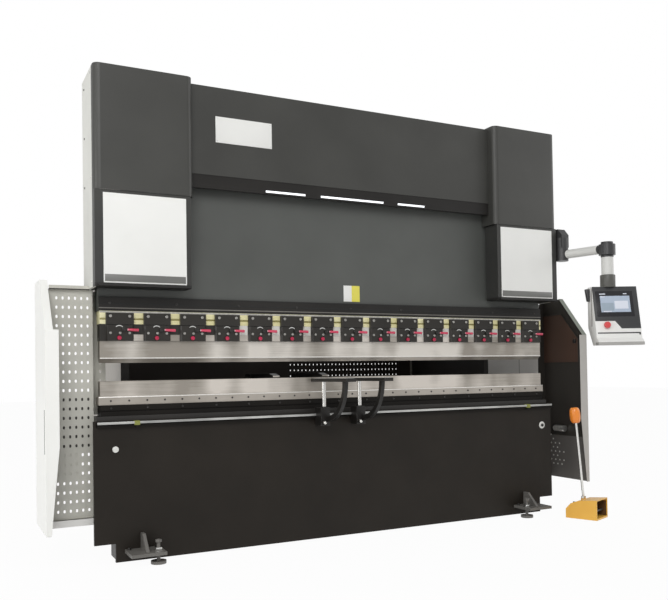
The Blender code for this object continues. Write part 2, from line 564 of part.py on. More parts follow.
body("pendant_arm",
     disc("z", (PIVOT_X, PIVOT_Y), KNUCKLE_R, ARM_Z - 0.045, ARM_Z + 0.040 - GAP, 24),
     add=[tube_between((PIVOT_X, PIVOT_Y, ARM_Z), (ELBOW_X, ELBOW_Y, ARM_Z), 0.031, 24),
          disc("z", (ELBOW_X, ELBOW_Y), 0.055, ARM_Z - 0.045, ARM_Z + 0.028, 24),
          disc("z", (ELBOW_X, ELBOW_Y), 0.040, ARM_Z + 0.020, ARM_Z + 0.045, 24)])
body("pendant_drop",
     disc("z", (ELBOW_X, ELBOW_Y), 0.040, PANEL_TOP + 0.068, ARM_Z - 0.045 - GAP, 24))
PANEL_HALF = 0.1425
PANEL_HIGH = 0.400
SCREEN_TURN = -26.0
panel_side = [(0.045, PANEL_TOP), (-0.030, PANEL_TOP), (-0.120, PANEL_TOP - 0.335),
              (-0.124, PANEL_TOP - 0.354), (-0.160, PANEL_TOP - 0.370),
              (-0.160, PANEL_TOP - PANEL_HIGH), (-0.040, PANEL_TOP - PANEL_HIGH),
              (0.045, PANEL_TOP - 0.280)]
body("pendant_panel",
     turned(prism("x", panel_side, -PANEL_HALF, PANEL_HALF), SCREEN_TURN, ELBOW_X, ELBOW_Y),
     add=[disc("z", (ELBOW_X, ELBOW_Y), 0.050, PANEL_TOP - 0.010, PANEL_TOP + 0.068 - GAP, 24)])

# Foot pedal: a separate item on the floor. Shell open to the operator, its roof falling
# to the back, with a boss for the upright rod; then the sprung treadle inside.
PEDAL_X = 1.620
PEDAL_Y = -1.115
PEDAL_TURN = 22.0
PEDAL_HALF = 0.090
PEDAL_LONG = 0.110
WALL = 0.006
FLOOR_THICK = 0.012
BOSS_TOP = 0.128
BOSS_Y = 0.020
roof = [(PEDAL_LONG, 0.062), (0.075, 0.100), (0.015, 0.124), (-PEDAL_LONG, 0.135)]
inner = [(-PEDAL_LONG - 0.010, FLOOR_THICK), (PEDAL_LONG - WALL, FLOOR_THICK)]
inner += [(min(p[0] - WALL / 2, PEDAL_LONG - WALL), p[1] - WALL) for p in roof[:3]]
inner += [(-PEDAL_LONG - 0.010, roof[3][1] - WALL)]
turned(body("pedal_hood",
            prism("x", [(-PEDAL_LONG, 0.0), (PEDAL_LONG, 0.0)] + roof, -PEDAL_HALF, PEDAL_HALF),
            cut=[prism("x", inner, WALL - PEDAL_HALF, PEDAL_HALF - WALL)],
            add=[disc("z", (0.0, BOSS_Y), 0.018, BOSS_TOP - 0.020, BOSS_TOP, 20)]),
       PEDAL_TURN, PEDAL_X, PEDAL_Y)
HINGE_Y = PEDAL_LONG - WALL - GAP - 0.008
HINGE_Z = 0.032
TOE_Y = 0.025 - PEDAL_LONG
treadle = [(HINGE_Y, HINGE_Z - 0.007), (HINGE_Y, HINGE_Z + 0.007), (TOE_Y, 0.062),
           (TOE_Y, 0.050)]
TREADLE_HALF = PEDAL_HALF - WALL - 0.010
turned(body("pedal_treadle",
            prism("x", treadle, -TREADLE_HALF, TREADLE_HALF),
            add=[disc("x", (HINGE_Y, HINGE_Z), 0.008, -TREADLE_HALF, TREADLE_HALF, 16)]),
       PEDAL_TURN, PEDAL_X, PEDAL_Y)
ROD_X = PEDAL_X - BOSS_Y * math.sin(math.radians(PEDAL_TURN))
ROD_Y = PEDAL_Y + BOSS_Y * math.cos(math.radians(PEDAL_TURN))
ROD_TOP = 0.645
body("pedal_rod",
     disc("z", (ROD_X, ROD_Y), 0.010, BOSS_TOP + GAP, ROD_TOP, 16),
     add=[disc("z", (ROD_X, ROD_Y), 0.016, BOSS_TOP + GAP, BOSS_TOP + 0.014, 16)])
grip = [(0.0, 0.0), (0.022, 0.0), (0.034, 0.020), (0.036, 0.050), (0.033, 0.092),
        (0.022, 0.108), (0.0, 0.110)]
rings = []
for radius, height in grip[1:-1]:
    rings.append([(ROD_X + p[0], ROD_Y + p[1], ROD_TOP + GAP + height)
                  for p in arc(0, 0, radius, 0, 345, 23)])
verts = [v for ring in rings for v in ring]
faces = [list(reversed(range(24))), list(range(len(verts) - 24, len(verts)))]
for r in range(len(rings) - 1):
    for k in range(24):
        n = (k + 1) % 24
        faces.append([r * 24 + k, r * 24 + n, (r + 1) * 24 + n, (r + 1) * 24 + k])
body("pedal_cap", mesh_object(verts, faces))
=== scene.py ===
"""Looks of the hydraulic press brake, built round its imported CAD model."""

import math

import bmesh
import bpy
from mathutils import Matrix, Vector


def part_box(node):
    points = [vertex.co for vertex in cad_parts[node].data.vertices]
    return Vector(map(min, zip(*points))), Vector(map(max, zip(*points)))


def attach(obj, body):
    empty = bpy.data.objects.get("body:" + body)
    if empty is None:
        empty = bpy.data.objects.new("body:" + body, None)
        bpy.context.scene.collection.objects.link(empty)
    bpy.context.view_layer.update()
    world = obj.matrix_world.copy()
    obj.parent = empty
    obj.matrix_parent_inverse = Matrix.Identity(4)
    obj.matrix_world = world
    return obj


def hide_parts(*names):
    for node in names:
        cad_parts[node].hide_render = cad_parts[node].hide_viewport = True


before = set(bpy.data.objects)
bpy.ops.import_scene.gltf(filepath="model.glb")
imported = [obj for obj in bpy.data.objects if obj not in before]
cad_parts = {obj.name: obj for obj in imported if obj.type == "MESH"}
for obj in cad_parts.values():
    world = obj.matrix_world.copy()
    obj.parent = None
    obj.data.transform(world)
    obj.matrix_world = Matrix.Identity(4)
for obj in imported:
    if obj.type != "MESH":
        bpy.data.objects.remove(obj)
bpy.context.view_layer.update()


# Frame: two thick flame-cut side plates, tied together at the foot and the back.
# They are welded mild steel, sprayed with a brown-black two-pack paint.
def feed(tree, node, inputs):
    """Set a node's inputs: each takes a value, or is linked to another node's output."""
    for name, value in inputs.items():
        if isinstance(value, bpy.types.NodeSocket):
            tree.links.new(value, node.inputs[name])
        else:
            node.inputs[name].default_value = value


def add_node(tree, kind, inputs, output=0, **settings):
    """Add a shader node with its settings and inputs, and give one of its outputs."""
    node = tree.nodes.new("ShaderNode" + kind)
    for name, value in settings.items():
        setattr(node, name, value)
    feed(tree, node, inputs)
    return node.outputs[output]


def new_finish(name):
    """A fresh material, with its node tree and its shader."""
    finish = bpy.data.materials.new(name)
    finish.use_nodes = True
    return finish, finish.node_tree, finish.node_tree.nodes["Principled BSDF"]


def clouds(tree, place, scale, detail=2.0):
    """Noise over a set of coordinates."""
    return add_node(tree, "TexNoise", {"Vector": place, "Scale": scale, "Detail": detail})


def spread(tree, value, low, high, start=0.0, end=1.0):
    """Map a value that runs from start to end on to low and high."""
    return add_node(tree, "MapRange", {"Value": value, "From Min": start, "From Max": end,
                                       "To Min": low, "To Max": high})


def tone_ramp(tree, value, dark, light, start=0.0, end=1.0):
    """Turn a value into a tone between a dark and a light colour."""
    tone = add_node(tree, "ValToRGB", {"Fac": value})
    for stop, spot, colour in zip(tone.node.color_ramp.elements, (start, end), (dark, light)):
        stop.position = spot
        stop.color = (*colour, 1)
    return tone


def sprayed_paint(name, dark, light, roughness, peel=0.10, worn=None):
    """Sprayed paint: slow clouds of tone, a fine peel, and edges rubbed lighter."""
    finish, tree, shader = new_finish(name)
    place = add_node(tree, "TexCoord", {}, "Object")
    tone = tone_ramp(tree, clouds(tree, place, 2.6, 5.0), dark, light, 0.32, 0.70)
    rub = clouds(tree, place, 38.0, 4.0)
    soft = add_node(tree, "Bevel", {"Radius": 0.0018}, samples=4)
    bump = add_node(tree, "Bump", {"Strength": peel, "Distance": 0.0006,
                                   "Height": clouds(tree, place, 620.0), "Normal": soft})
    if worn is not None:
        flat = add_node(tree, "NewGeometry", {}, "Normal")
        edge = add_node(tree, "VectorMath", {0: soft, 1: flat}, "Value", operation="DOT_PRODUCT")
        patchy = add_node(tree, "Math", {0: spread(tree, edge, 0.0, 1.0, 0.995, 0.90), 1: rub},
                          operation="MULTIPLY")
        tone = add_node(tree, "Mix", {"Factor": patchy, 6: tone, 7: (*worn, 1)}, 2,
                        data_type="RGBA")
    feed(tree, shader, {"Base Color": tone, "Normal": bump,
                        "Roughness": spread(tree, rub, roughness - 0.07, roughness + 0.07)})
    return finish


def second_tone(finish, colour, *rules):
    """Lay a second tone over a paint, where each rule holds: source, axis, low, high."""
    tree = finish.node_tree
    share = None
    for source, axis, low, high in rules:
        place = add_node(tree, "TexCoord", {}, source)
        along = add_node(tree, "SeparateXYZ", {"Vector": place}, axis)
        for limit, test in ((low, "GREATER_THAN"), (high, "LESS_THAN")):
            holds = add_node(tree, "Math", {0: along, 1: limit}, operation=test)
            if share is not None:
                holds = add_node(tree, "Math", {0: share, 1: holds}, operation="MULTIPLY")
            share = holds
    base = tree.nodes["Principled BSDF"].inputs["Base Color"]
    both = add_node(tree, "Mix", {"Factor": share, 6: base.links[0].from_socket,
                                  7: (*colour, 1)}, 2, data_type="RGBA")
    tree.links.new(both, base)


def put_finish(finish, *nodes):
    """Give CAD pieces their finish."""
    for node in nodes:
        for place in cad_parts[node].material_slots:
            place.material = finish


FRAME_DARK, FRAME_LIGHT = (0.018, 0.016, 0.014), (0.026, 0.023, 0.020)
FRAME_WORN = (0.075, 0.070, 0.064)
PLATE_OUTSIDE = (0.40, 0.375, 0.34)
PLATE_OUT = 1.370
frame_paint = sprayed_paint("frame_paint", FRAME_DARK, FRAME_LIGHT, 0.46, worn=FRAME_WORN)
put_finish(frame_paint, "base_tie", "rear_crossbeam")
for side, s in (("left", -1), ("right", 1)):
    plate_paint = sprayed_paint(side + "_plate_paint", FRAME_DARK, FRAME_LIGHT, 0.46,
                                worn=FRAME_WORN)
    reach = sorted((s * (PLATE_OUT - 0.006), s * (PLATE_OUT + 0.006)))
    facing = sorted((s * 0.9, s * 1.1))
    second_tone(plate_paint, PLATE_OUTSIDE, ("Object", "X", *reach), ("Normal", "X", *facing))
    put_finish(plate_paint, side + "_side_frame")


# Bed: an upright beam under the tools, notched at its lower corners, behind a dark apron
# plate. The apron has a cap screw on a wide pale washer at the right, and a cap at left.
def cut_bar(shape, low, high):
    """Lay a square bar between two corners."""
    low, high = Vector(low), Vector(high)
    span = high - low
    place = Matrix.Translation((low + high) / 2) @ Matrix.Diagonal((*span, 1))
    return bmesh.ops.create_cube(shape, size=1, matrix=place)["verts"]


def cut_plate(shape, corners, way):
    """Cut a plate from the corners of one face, as thick as the way to its other face."""
    face = shape.faces.new([shape.verts.new(corner) for corner in corners])
    made = bmesh.ops.extrude_face_region(shape, geom=[face])["geom"]
    raised = [v for v in made if isinstance(v, bmesh.types.BMVert)]
    bmesh.ops.translate(shape, vec=way, verts=raised)
    bmesh.ops.recalc_face_normals(shape, faces=shape.faces)


def turn_bar(shape, foot, along, radius, length, sides=16, tip=None):
    """Lay a round bar from its foot, along a direction."""
    along = Vector(along).normalized()
    aim = along.to_track_quat("Z", "Y").to_matrix().to_4x4()
    middle = Vector(foot) + along * length / 2
    made = bmesh.ops.create_cone(shape, cap_ends=True, segments=sides, radius1=radius,
                                 radius2=radius if tip is None else tip, depth=length,
                                 matrix=Matrix.Translation(middle) @ aim)
    return made["verts"]


def cap_screw(shape, seat, out, radius, height, sides=12):
    """A cap screw with its round socket: seat is the middle of its underside."""
    out = Vector(out).normalized()
    made = turn_bar(shape, seat, out, radius, height, sides)
    faces = {f for v in made for f in v.link_faces}
    top = max(faces, key=lambda f: f.calc_center_median().dot(out))
    bmesh.ops.bevel(shape, geom=list(top.edges), offset=radius * 0.14, segments=1, profile=0.5,
                    affect="EDGES", material=-1)
    top = max((f for f in shape.faces if len(f.verts) == sides and f.normal.dot(out) > 0.9
               and (f.calc_center_median() - Vector(seat)).length < height * 1.2),
              key=lambda f: f.calc_center_median().dot(out))
    bmesh.ops.inset_region(shape, faces=[top], thickness=radius * 0.36)
    moved = bmesh.ops.extrude_discrete_faces(shape, faces=[top])["faces"]
    bmesh.ops.translate(shape, verts=moved[0].verts, vec=-out * height * 0.55)


def finish_piece(name, shape, finish, body, bevel=0.0, smooth=30):
    """Turn a worked shape into a named piece that rides on its body."""
    if bevel:
        sharp = [e for e in shape.edges
                 if len(e.link_faces) == 2 and e.calc_face_angle(0) > math.radians(smooth)]
        bmesh.ops.bevel(shape, geom=sharp, offset=bevel, segments=2, profile=0.5,
                        affect="EDGES", clamp_overlap=True, material=-1)
    for face in shape.faces:
        face.smooth = True
    for edge in shape.edges:
        if len(edge.link_faces) == 2 and edge.calc_face_angle(0) > math.radians(smooth):
            edge.smooth = False
    mesh = bpy.data.meshes.new(name)
    shape.to_mesh(mesh)
    shape.free()
    mesh.materials.append(finish)
    item = bpy.data.objects.new(name, mesh)
    bpy.context.scene.collection.objects.link(item)
    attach(item, body)
    return item


def bar_piece(name, bars, finish, body, bevel=0.0):
    """A piece made of square bars, each given by its two corners."""
    shape = bmesh.new()
    for low, high in bars:
        cut_bar(shape, low, high)
    return finish_piece(name, shape, finish, body, bevel)


FRONT = Vector((0, -1, 0))
apron_paint = sprayed_paint("apron_paint", (0.016, 0.013, 0.010), (0.022, 0.018, 0.014), 0.50,
                            worn=(0.10, 0.095, 0.088))
apron_paint.node_tree.nodes["Principled BSDF"].inputs["Specular IOR Level"].default_value = 0.20
put_finish(apron_paint, "front_apron")
bed_low, bed_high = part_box("bed")
BED_BACK = -0.660
CORNER_X, CORNER_Z = 1.486, 0.112
GUIDE_X, GUIDE_HALF = 0.990, 0.040
GUIDE_LOW, GUIDE_HIGH = 0.300, 0.400
notched_bed = bmesh.new()
outline = [(bed_low.x, CORNER_Z), (-CORNER_X, CORNER_Z), (-CORNER_X, bed_low.z),
           (CORNER_X, bed_low.z), (CORNER_X, CORNER_Z), (bed_high.x, CORNER_Z),
           (bed_high.x, bed_high.z), (bed_low.x, bed_high.z)]
cut_plate(notched_bed, [(x, bed_low.y, z) for x, z in outline], (0, BED_BACK - bed_low.y, 0))
for x in (-GUIDE_X, GUIDE_X):
    cut_bar(notched_bed, (x - GUIDE_HALF, BED_BACK - 0.010, GUIDE_LOW),
            (x + GUIDE_HALF, bed_high.y, GUIDE_HIGH))
bed_beam = finish_piece("notched_bed", notched_bed, frame_paint, "frame")
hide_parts("bed")


def plated_steel(name, dark, light, roughness):
    """Zinc-plated or polished steel with faint cloudy handling marks."""
    finish, tree, shader = new_finish(name)
    cloud = clouds(tree, add_node(tree, "TexCoord", {}, "Object"), 70.0, 4.0)
    feed(tree, shader, {"Metallic": 1.0,
                        "Base Color": tone_ramp(tree, cloud, dark, light, 0.3, 0.7),
                        "Roughness": spread(tree, cloud, roughness - 0.08, roughness + 0.08)})
    return finish


def blacked_steel(name, dark, light, roughness=0.40):
    """Oil-blacked steel: a dark metal with thin brown clouds and brighter corners."""
    finish = sprayed_paint(name, dark, light, roughness, peel=0.05, worn=(0.22, 0.21, 0.20))
    finish.node_tree.nodes["Principled BSDF"].inputs["Specular IOR Level"].default_value = 0.40
    return finish


screw_steel = plated_steel("screw_steel", (0.62, 0.62, 0.60), (0.82, 0.82, 0.80), 0.34)
oil_black = blacked_steel("oil_black", (0.010, 0.009, 0.008), (0.018, 0.016, 0.014))
washer_white_and_vent_light = sprayed_paint("washer_white_and_vent_light", (0.78, 0.78, 0.74), (0.86, 0.86, 0.82), 0.36, peel=0.0)
apron_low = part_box("front_apron")[0]
SCREW_X, CAP_X, APRON_SCREW_Z = 1.517, -1.485, 0.620
WASHER_THICK = 0.003
apron_washers = bmesh.new()
apron_screws = bmesh.new()
seat = Vector((SCREW_X, apron_low.y, APRON_SCREW_Z))
turn_bar(apron_washers, seat, FRONT, 0.025, WASHER_THICK, 32)
cap_screw(apron_screws, seat + FRONT * WASHER_THICK, FRONT, 0.011, 0.008)
turn_bar(apron_washers, (CAP_X, apron_low.y, APRON_SCREW_Z), FRONT, 0.017, 0.010, 24)
finish_piece("apron_washers", apron_washers, washer_white_and_vent_light, "frame", bevel=0.0008)
finish_piece("apron_screws", apron_screws, oil_black, "frame")


# Crowning table: a black bar whose two wedge strips bow it against the load. It is
# chemically blacked, with the row of set screws that lock it to the bed.
def screw_row(name, pitch, reach, y, z, radius, height):
    """A row of blacked screws along the front of a bar, at an even pitch about x = 0."""
    screws = bmesh.new()
    count = int(reach / pitch)
    for i in range(count + 1):
        cap_screw(screws, ((i - count / 2) * pitch, y, z), FRONT, radius, height, 10)
    finish_piece(name, screws, oil_black, "frame")


table_black = sprayed_paint("table_black", (0.008, 0.007, 0.006), (0.014, 0.012, 0.010), 0.55)
table_black.node_tree.nodes["Principled BSDF"].inputs["Specular IOR Level"].default_value = 0.14
put_finish(table_black, "crowning_table")
table_low, table_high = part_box("crowning_table")
TABLE_PITCH, TABLE_SCREW_UP = 0.200, 0.043
screw_row("table_screws", TABLE_PITCH, table_high.x - table_low.x - 0.1, table_low.y,
          table_low.z + TABLE_SCREW_UP, 0.006, 0.004)


# Die rail and vee die: hardened bars, ground bright along their length. The rail has a
# row of clamping screws at a pitch of 100 mm, and a bright strip along its top edge.
def ground_steel(name, dark, light, roughness=0.34, lines=260.0, painted_sheen=0.0):
    """Surface-ground steel: fine lines along the machine, oil stains, and, where asked for,
    broad soft bands of painted sheen, lighter and darker along its length, for reflections.
    """
    finish, tree, shader = new_finish(name)
    place = add_node(tree, "TexCoord", {}, "Object")
    along = add_node(tree, "Mapping", {"Vector": place, "Scale": (0.012, 1.0, 1.0)})
    brushed = clouds(tree, along, lines, 3.0)
    stain = clouds(tree, place, 3.4, 6.0)
    lined = add_node(tree, "Math", {0: brushed, 1: 0.35, 2: stain}, operation="MULTIPLY_ADD")
    # Broad lighter and darker bands along the length, up to the given amount: painted sheen for
    # reflections.
    only_x = add_node(tree, "Mapping", {"Vector": place, "Scale": (1.0, 0.0, 0.12)})
    painted_sheen_bands = spread(tree, clouds(tree, only_x, 4.2, 1.5), -painted_sheen, painted_sheen, 0.3, 0.7)
    total = add_node(tree, "Math", {0: lined, 1: painted_sheen_bands}, operation="ADD")
    soft = add_node(tree, "Bevel", {"Radius": 0.0012}, samples=4)
    bump = add_node(tree, "Bump", {"Strength": 0.12, "Distance": 0.0004, "Height": brushed,
                                   "Normal": soft})
    feed(tree, shader, {"Metallic": 0.6, "Normal": bump,
                        "Base Color": tone_ramp(tree, total, dark, light, 0.42, 0.90),
                        "Roughness": spread(tree, stain, roughness - 0.06, roughness + 0.10)})
    return finish


GROUND_DARK = (0.34, 0.31, 0.27)
# The tool and rail steel carry painted sheen: broad lighter and darker bands along them for
# reflections.
tool_steel = ground_steel("tool_steel", GROUND_DARK, (0.70, 0.65, 0.59), 0.38, painted_sheen=0.36)
rail_steel = ground_steel("rail_steel", GROUND_DARK, (0.50, 0.46, 0.41), 0.38, painted_sheen=0.12)
bright_edge = plated_steel("bright_edge", (0.80, 0.78, 0.74), (0.92, 0.90, 0.86), 0.38)
put_finish(tool_steel, "die")
put_finish(rail_steel, "die_rail")
rail_low, rail_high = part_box("die_rail")
RAIL_PITCH = 0.100
screw_row("rail_screws", RAIL_PITCH, rail_high.x - rail_low.x - 0.05, rail_low.y,
          (rail_low.z + rail_high.z) / 2, 0.0055, 0.003)
bar_piece("rail_edge", [((rail_low.x, rail_low.y - 0.0008, rail_high.z - 0.005),
                         (rail_high.x, rail_low.y + 0.004, rail_high.z + 0.0006))],
          bright_edge, "frame", bevel=0.001)

# Guide rail of the sheet supports: a black extrusion with a painted highlight, a bright strip
# along its upper edge, a scale of plain score marks, and a yellow-green stop at each end.
put_finish(table_black, "support_rail")
slide_low, slide_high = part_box("support_rail")
# The bright strip along the rail's upper edge is a painted highlight.
rail_highlight_steel = ground_steel("rail_highlight_steel", (0.34, 0.34, 0.33), (0.60, 0.60, 0.58), 0.36,
                             painted_sheen=0.30)
bar_piece("rail_painted_highlight", [((slide_low.x, slide_low.y - 0.0010, slide_high.z - 0.014),
                                 (slide_high.x, slide_low.y + 0.0005, slide_high.z - 0.001))],
          rail_highlight_steel, "frame", bevel=0.0004)
stop_green = sprayed_paint("stop_green", (0.21, 0.225, 0.045), (0.29, 0.30, 0.070), 0.40, peel=0.05)
STOP_X, STOP_HALF = 1.372, 0.015
bar_piece("rail_end_stops",
          [((x - STOP_HALF, slide_low.y - 0.003, slide_high.z - 0.022),
            (x + STOP_HALF, slide_high.y - 0.002, slide_high.z + 0.002))
           for x in (-STOP_X, STOP_X)],
          stop_green, "frame", bevel=0.0012)
MARK_PITCH, MARK_HALF = 0.050, 0.0006
MARK_TOP = slide_high.z - 0.0055
MARK_Y = slide_low.y + 0.012
count = int((slide_high.x - slide_low.x - 0.5) / MARK_PITCH)
marks = []
for i in range(count + 1):
    x = (i - count / 2) * MARK_PITCH
    tall = 0.007 if i % 2 else 0.004
    marks.append(((x - MARK_HALF, MARK_Y - 0.0003, MARK_TOP - tall),
                  (x + MARK_HALF, MARK_Y + 0.0002, MARK_TOP)))
bar_piece("scale_marks", marks, oil_black, "frame")

# Ram: the moving upper beam, a thick plate sprayed mid grey, with a blank two-tone label.
# The near-black band along its foot has milled grooves, drawn as near-black strips of painted
# shade, and near its foot a grey strip of painted highlight.
ram_paint = sprayed_paint("ram_paint", (0.078, 0.082, 0.076), (0.096, 0.101, 0.094), 0.46,
                          worn=(0.20, 0.20, 0.19))
band_paint = sprayed_paint("band_paint", (0.014, 0.013, 0.012), (0.024, 0.022, 0.020), 0.34,
                           worn=(0.12, 0.11, 0.10))
band_paint.node_tree.nodes["Principled BSDF"].inputs["Specular IOR Level"].default_value = 0.28
put_finish(ram_paint, "ram")
put_finish(band_paint, "ram_band")
ram_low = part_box("ram")[0]
band_low, band_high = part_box("ram_band")
label_white = sprayed_paint("label_white", (0.84, 0.84, 0.81), (0.91, 0.91, 0.88), 0.34, peel=0.0)
label_yellow = sprayed_paint("label_yellow", (0.78, 0.70, 0.10), (0.84, 0.77, 0.14), 0.30,
                             peel=0.0)
LABEL_LOW, LABEL_HIGH = 1.470, 1.572
for name, start, end, finish, slot in (
        ("blank_label", -0.040, 0.018, label_white, "white_paint"),
        ("blank_label_yellow", 0.0185, 0.076, label_yellow, "wedge_paint")):
    bar_piece(name, [((start, ram_low.y - 0.0008, LABEL_LOW),
                      (end, ram_low.y + 0.0002, LABEL_HIGH))],
              finish, "ram")
# Near-black strips for the grooves: painted shade.
groove_painted_shade = sprayed_paint("groove_painted_shade", (0.004, 0.004, 0.004), (0.007, 0.007, 0.006), 0.6,
                             peel=0.0)
GROOVES, GROOVE_TALL = (1.4175, 1.4510), 0.005
bar_piece("band_groove_shade", [((band_low.x, band_low.y - 0.0010, z),
                            (band_high.x, band_low.y + 0.0005, z + GROOVE_TALL)) for z in GROOVES],
          groove_painted_shade, "ram")
# A grey strip near the band's foot: painted highlight.
highlight_grey = sprayed_paint("highlight_grey", (0.15, 0.14, 0.125), (0.20, 0.19, 0.17), 0.40, peel=0.0)
bar_piece("band_foot_highlight", [((band_low.x, band_low.y - 0.0012, band_low.z + 0.010),
                              (band_high.x, band_low.y + 0.0005, band_low.z + 0.016))],
          highlight_grey, "ram")
BAND_SCREWS, BAND_INSET = 9, 0.06
band_pitch = (band_high.x - band_low.x - 2 * BAND_INSET) / (BAND_SCREWS - 1)
band_screws = bmesh.new()
for i in range(BAND_SCREWS):
    seat = (band_low.x + BAND_INSET + i * band_pitch, band_low.y, band_low.z + 0.040)
    cap_screw(band_screws, seat, FRONT, 0.007, 0.004)
finish_piece("band_screws", band_screws, oil_black, "ram")

# Wedge strips: bronze-coloured bars over the holder, which set the height of each clamp.
# A bright strip along their upper edge is a painted highlight, and a seam runs between the two.
wedge_bronze = ground_steel("wedge_bronze", (0.78, 0.72, 0.34), (0.92, 0.87, 0.55), 0.46)
wedge_bronze.node_tree.nodes["Principled BSDF"].inputs["Metallic"].default_value = 0.0
put_finish(wedge_bronze, "wedge_bar")
wedge_low, wedge_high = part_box("wedge_bar")
# Grey steel for the painted highlight along the wedges' upper edge.
edge_highlight_grey = plated_steel("edge_highlight_grey", (0.40, 0.39, 0.36), (0.62, 0.60, 0.56), 0.40)
bar_piece("wedge_edge_highlight", [((wedge_low.x, wedge_low.y - 0.0010, wedge_high.z - 0.0100),
                          (wedge_high.x, wedge_low.y + 0.0005, wedge_high.z - 0.0010))],
          edge_highlight_grey, "ram")
seam_olive = sprayed_paint("seam_olive", (0.20, 0.17, 0.030), (0.28, 0.24, 0.055), 0.5, peel=0.0)
SEAM_LOW, SEAM_HIGH = 1.330, 1.335
bar_piece("wedge_seam", [((wedge_low.x, wedge_low.y - 0.0008, SEAM_LOW),
                          (wedge_high.x, wedge_low.y + 0.0005, SEAM_HIGH))],
          seam_olive, "ram")


# Clamps: fifteen blacked quick clamps. Each has two top screws, a bright curved mark,
# three lower screws, a round red button and a red dipped lever that points right, with a
# pale pink root that is a painted highlight.
def dipped_plastic(name, dark, light, roughness=0.28):
    """Soft dipped vinyl or moulded plastic with a fine grain."""
    finish = sprayed_paint(name, dark, light, roughness, peel=0.16)
    finish.node_tree.nodes["Principled BSDF"].inputs["Coat Weight"].default_value = 0.25
    return finish


clamp_black = blacked_steel("clamp_black", (0.016, 0.014, 0.011), (0.026, 0.023, 0.019), 0.38)
put_finish(clamp_black, "clamp_row")
lever_red = dipped_plastic("lever_red", (0.60, 0.040, 0.095), (0.76, 0.075, 0.150))
button_red = dipped_plastic("button_red", (0.42, 0.008, 0.048), (0.56, 0.014, 0.075))
# Pale pink for the lever roots: a painted highlight.
lever_highlight_pink = dipped_plastic("lever_highlight_pink", (0.72, 0.36, 0.40), (0.82, 0.46, 0.50))
# Pale paint for the lit gaps between the clamps: painted light.
gap_painted_light = sprayed_paint("gap_painted_light", (0.66, 0.65, 0.60), (0.78, 0.77, 0.72), 0.30, peel=0.0)
clamp_screw_steel = plated_steel("clamp_screw_steel", (0.34, 0.33, 0.31), (0.52, 0.51, 0.48), 0.36)
CLAMPS = 15
clamp_low, clamp_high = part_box("clamp_row")
clamp_pitch = (clamp_high.x - clamp_low.x - 0.005) / CLAMPS
clamp_x = [(i - (CLAMPS - 1) / 2) * clamp_pitch for i in range(CLAMPS)]
foot = clamp_low.z
face_y = clamp_low.y
plate_y = face_y + 0.004

# Tabs stand in the gaps: a short steel one at each gap's foot, and from the fourth gap on
# a tall pale one over it, painted light where those gaps are lit.
TAB_BACK = -0.7645
FOOT_TAB_HALF, GAP_TAB_HALF = 0.028, 0.026
FOOT_TAB_TOP, GAP_TAB_TOP = foot + 0.036, foot + 0.0925
FIRST_LIT_GAP = 3
gaps = [x + clamp_pitch / 2 for x in clamp_x[:-1]]
bar_piece("foot_tabs", [((x - FOOT_TAB_HALF, -0.7662, foot),
                         (x + FOOT_TAB_HALF, TAB_BACK, FOOT_TAB_TOP)) for x in gaps],
          tool_steel, "ram")
bar_piece("lit_gap_tabs", [((x - GAP_TAB_HALF, -0.766, FOOT_TAB_TOP),
                        (x + GAP_TAB_HALF, TAB_BACK, GAP_TAB_TOP))
                       for x in gaps[FIRST_LIT_GAP:]],
          gap_painted_light, "ram")

SCREW_OUT = 0.052
TOP_SCREW_Z, LOW_SCREW_Z = foot + 0.136, foot + 0.043
MARK_RADIUS, MARK_Z, MARK_CUT = 0.026, foot + 0.056, foot + 0.070
LEVER_Z, BUTTON_Z = foot + 0.061, foot + 0.016
stand_up = Matrix.Rotation(math.radians(90), 4, "X")
clamp_screws = bmesh.new()
clamp_marks = bmesh.new()
clamp_levers = bmesh.new()
clamp_buttons = bmesh.new()
lever_hubs = bmesh.new()
lever_root_highlights = bmesh.new()
for x in clamp_x:
    for dx in (-SCREW_OUT, SCREW_OUT):
        cap_screw(clamp_screws, (x + dx, face_y, TOP_SCREW_Z), FRONT, 0.0085, 0.005)
    for dx in (-SCREW_OUT, 0.0, SCREW_OUT):
        cap_screw(clamp_screws, (x + dx, plate_y, LOW_SCREW_Z), FRONT, 0.0075, 0.005)
    middle = Matrix.Translation((x - 0.004, plate_y, MARK_Z))
    arch = bmesh.ops.create_circle(clamp_marks, cap_ends=False, segments=24,
                                   radius=MARK_RADIUS, matrix=middle @ stand_up)["verts"]
    low_part = [v for v in arch if v.co.z < MARK_CUT or abs(v.co.x - x) > 0.030]
    bmesh.ops.delete(clamp_marks, geom=low_part, context="VERTS")
    hub = Vector((x + 0.020, plate_y, LEVER_Z))
    turn_bar(lever_hubs, hub, FRONT, 0.011, 0.012, 20)
    turn_bar(lever_hubs, hub + FRONT * 0.008, (1, 0, 0), 0.0042, 0.024, 12)
    grip = Vector((x + 0.042, plate_y - 0.009, LEVER_Z))
    turn_bar(lever_root_highlights, grip - Vector((0.004, 0, 0)), (1, -0.04, 0), 0.0056, 0.006, 12)
    turn_bar(clamp_levers, grip, (1, -0.04, -0.04), 0.0068, 0.058, 12, tip=0.0086)
    button = Vector((x - 0.005, face_y + 0.006, BUTTON_Z))
    turn_bar(clamp_buttons, button, FRONT, 0.0095, 0.008, 16)
    turn_bar(clamp_buttons, button + FRONT * 0.0075, FRONT, 0.0128, 0.006, 20, tip=0.0105)
wide = bmesh.ops.extrude_edge_only(clamp_marks, edges=list(clamp_marks.edges))["geom"]
raised = [v for v in wide if isinstance(v, bmesh.types.BMVert)]
bmesh.ops.translate(clamp_marks, verts=raised, vec=(0, 0, 0.005))
bmesh.ops.recalc_face_normals(clamp_marks, faces=clamp_marks.faces)
away = [f for f in clamp_marks.faces if f.normal.y > 0]
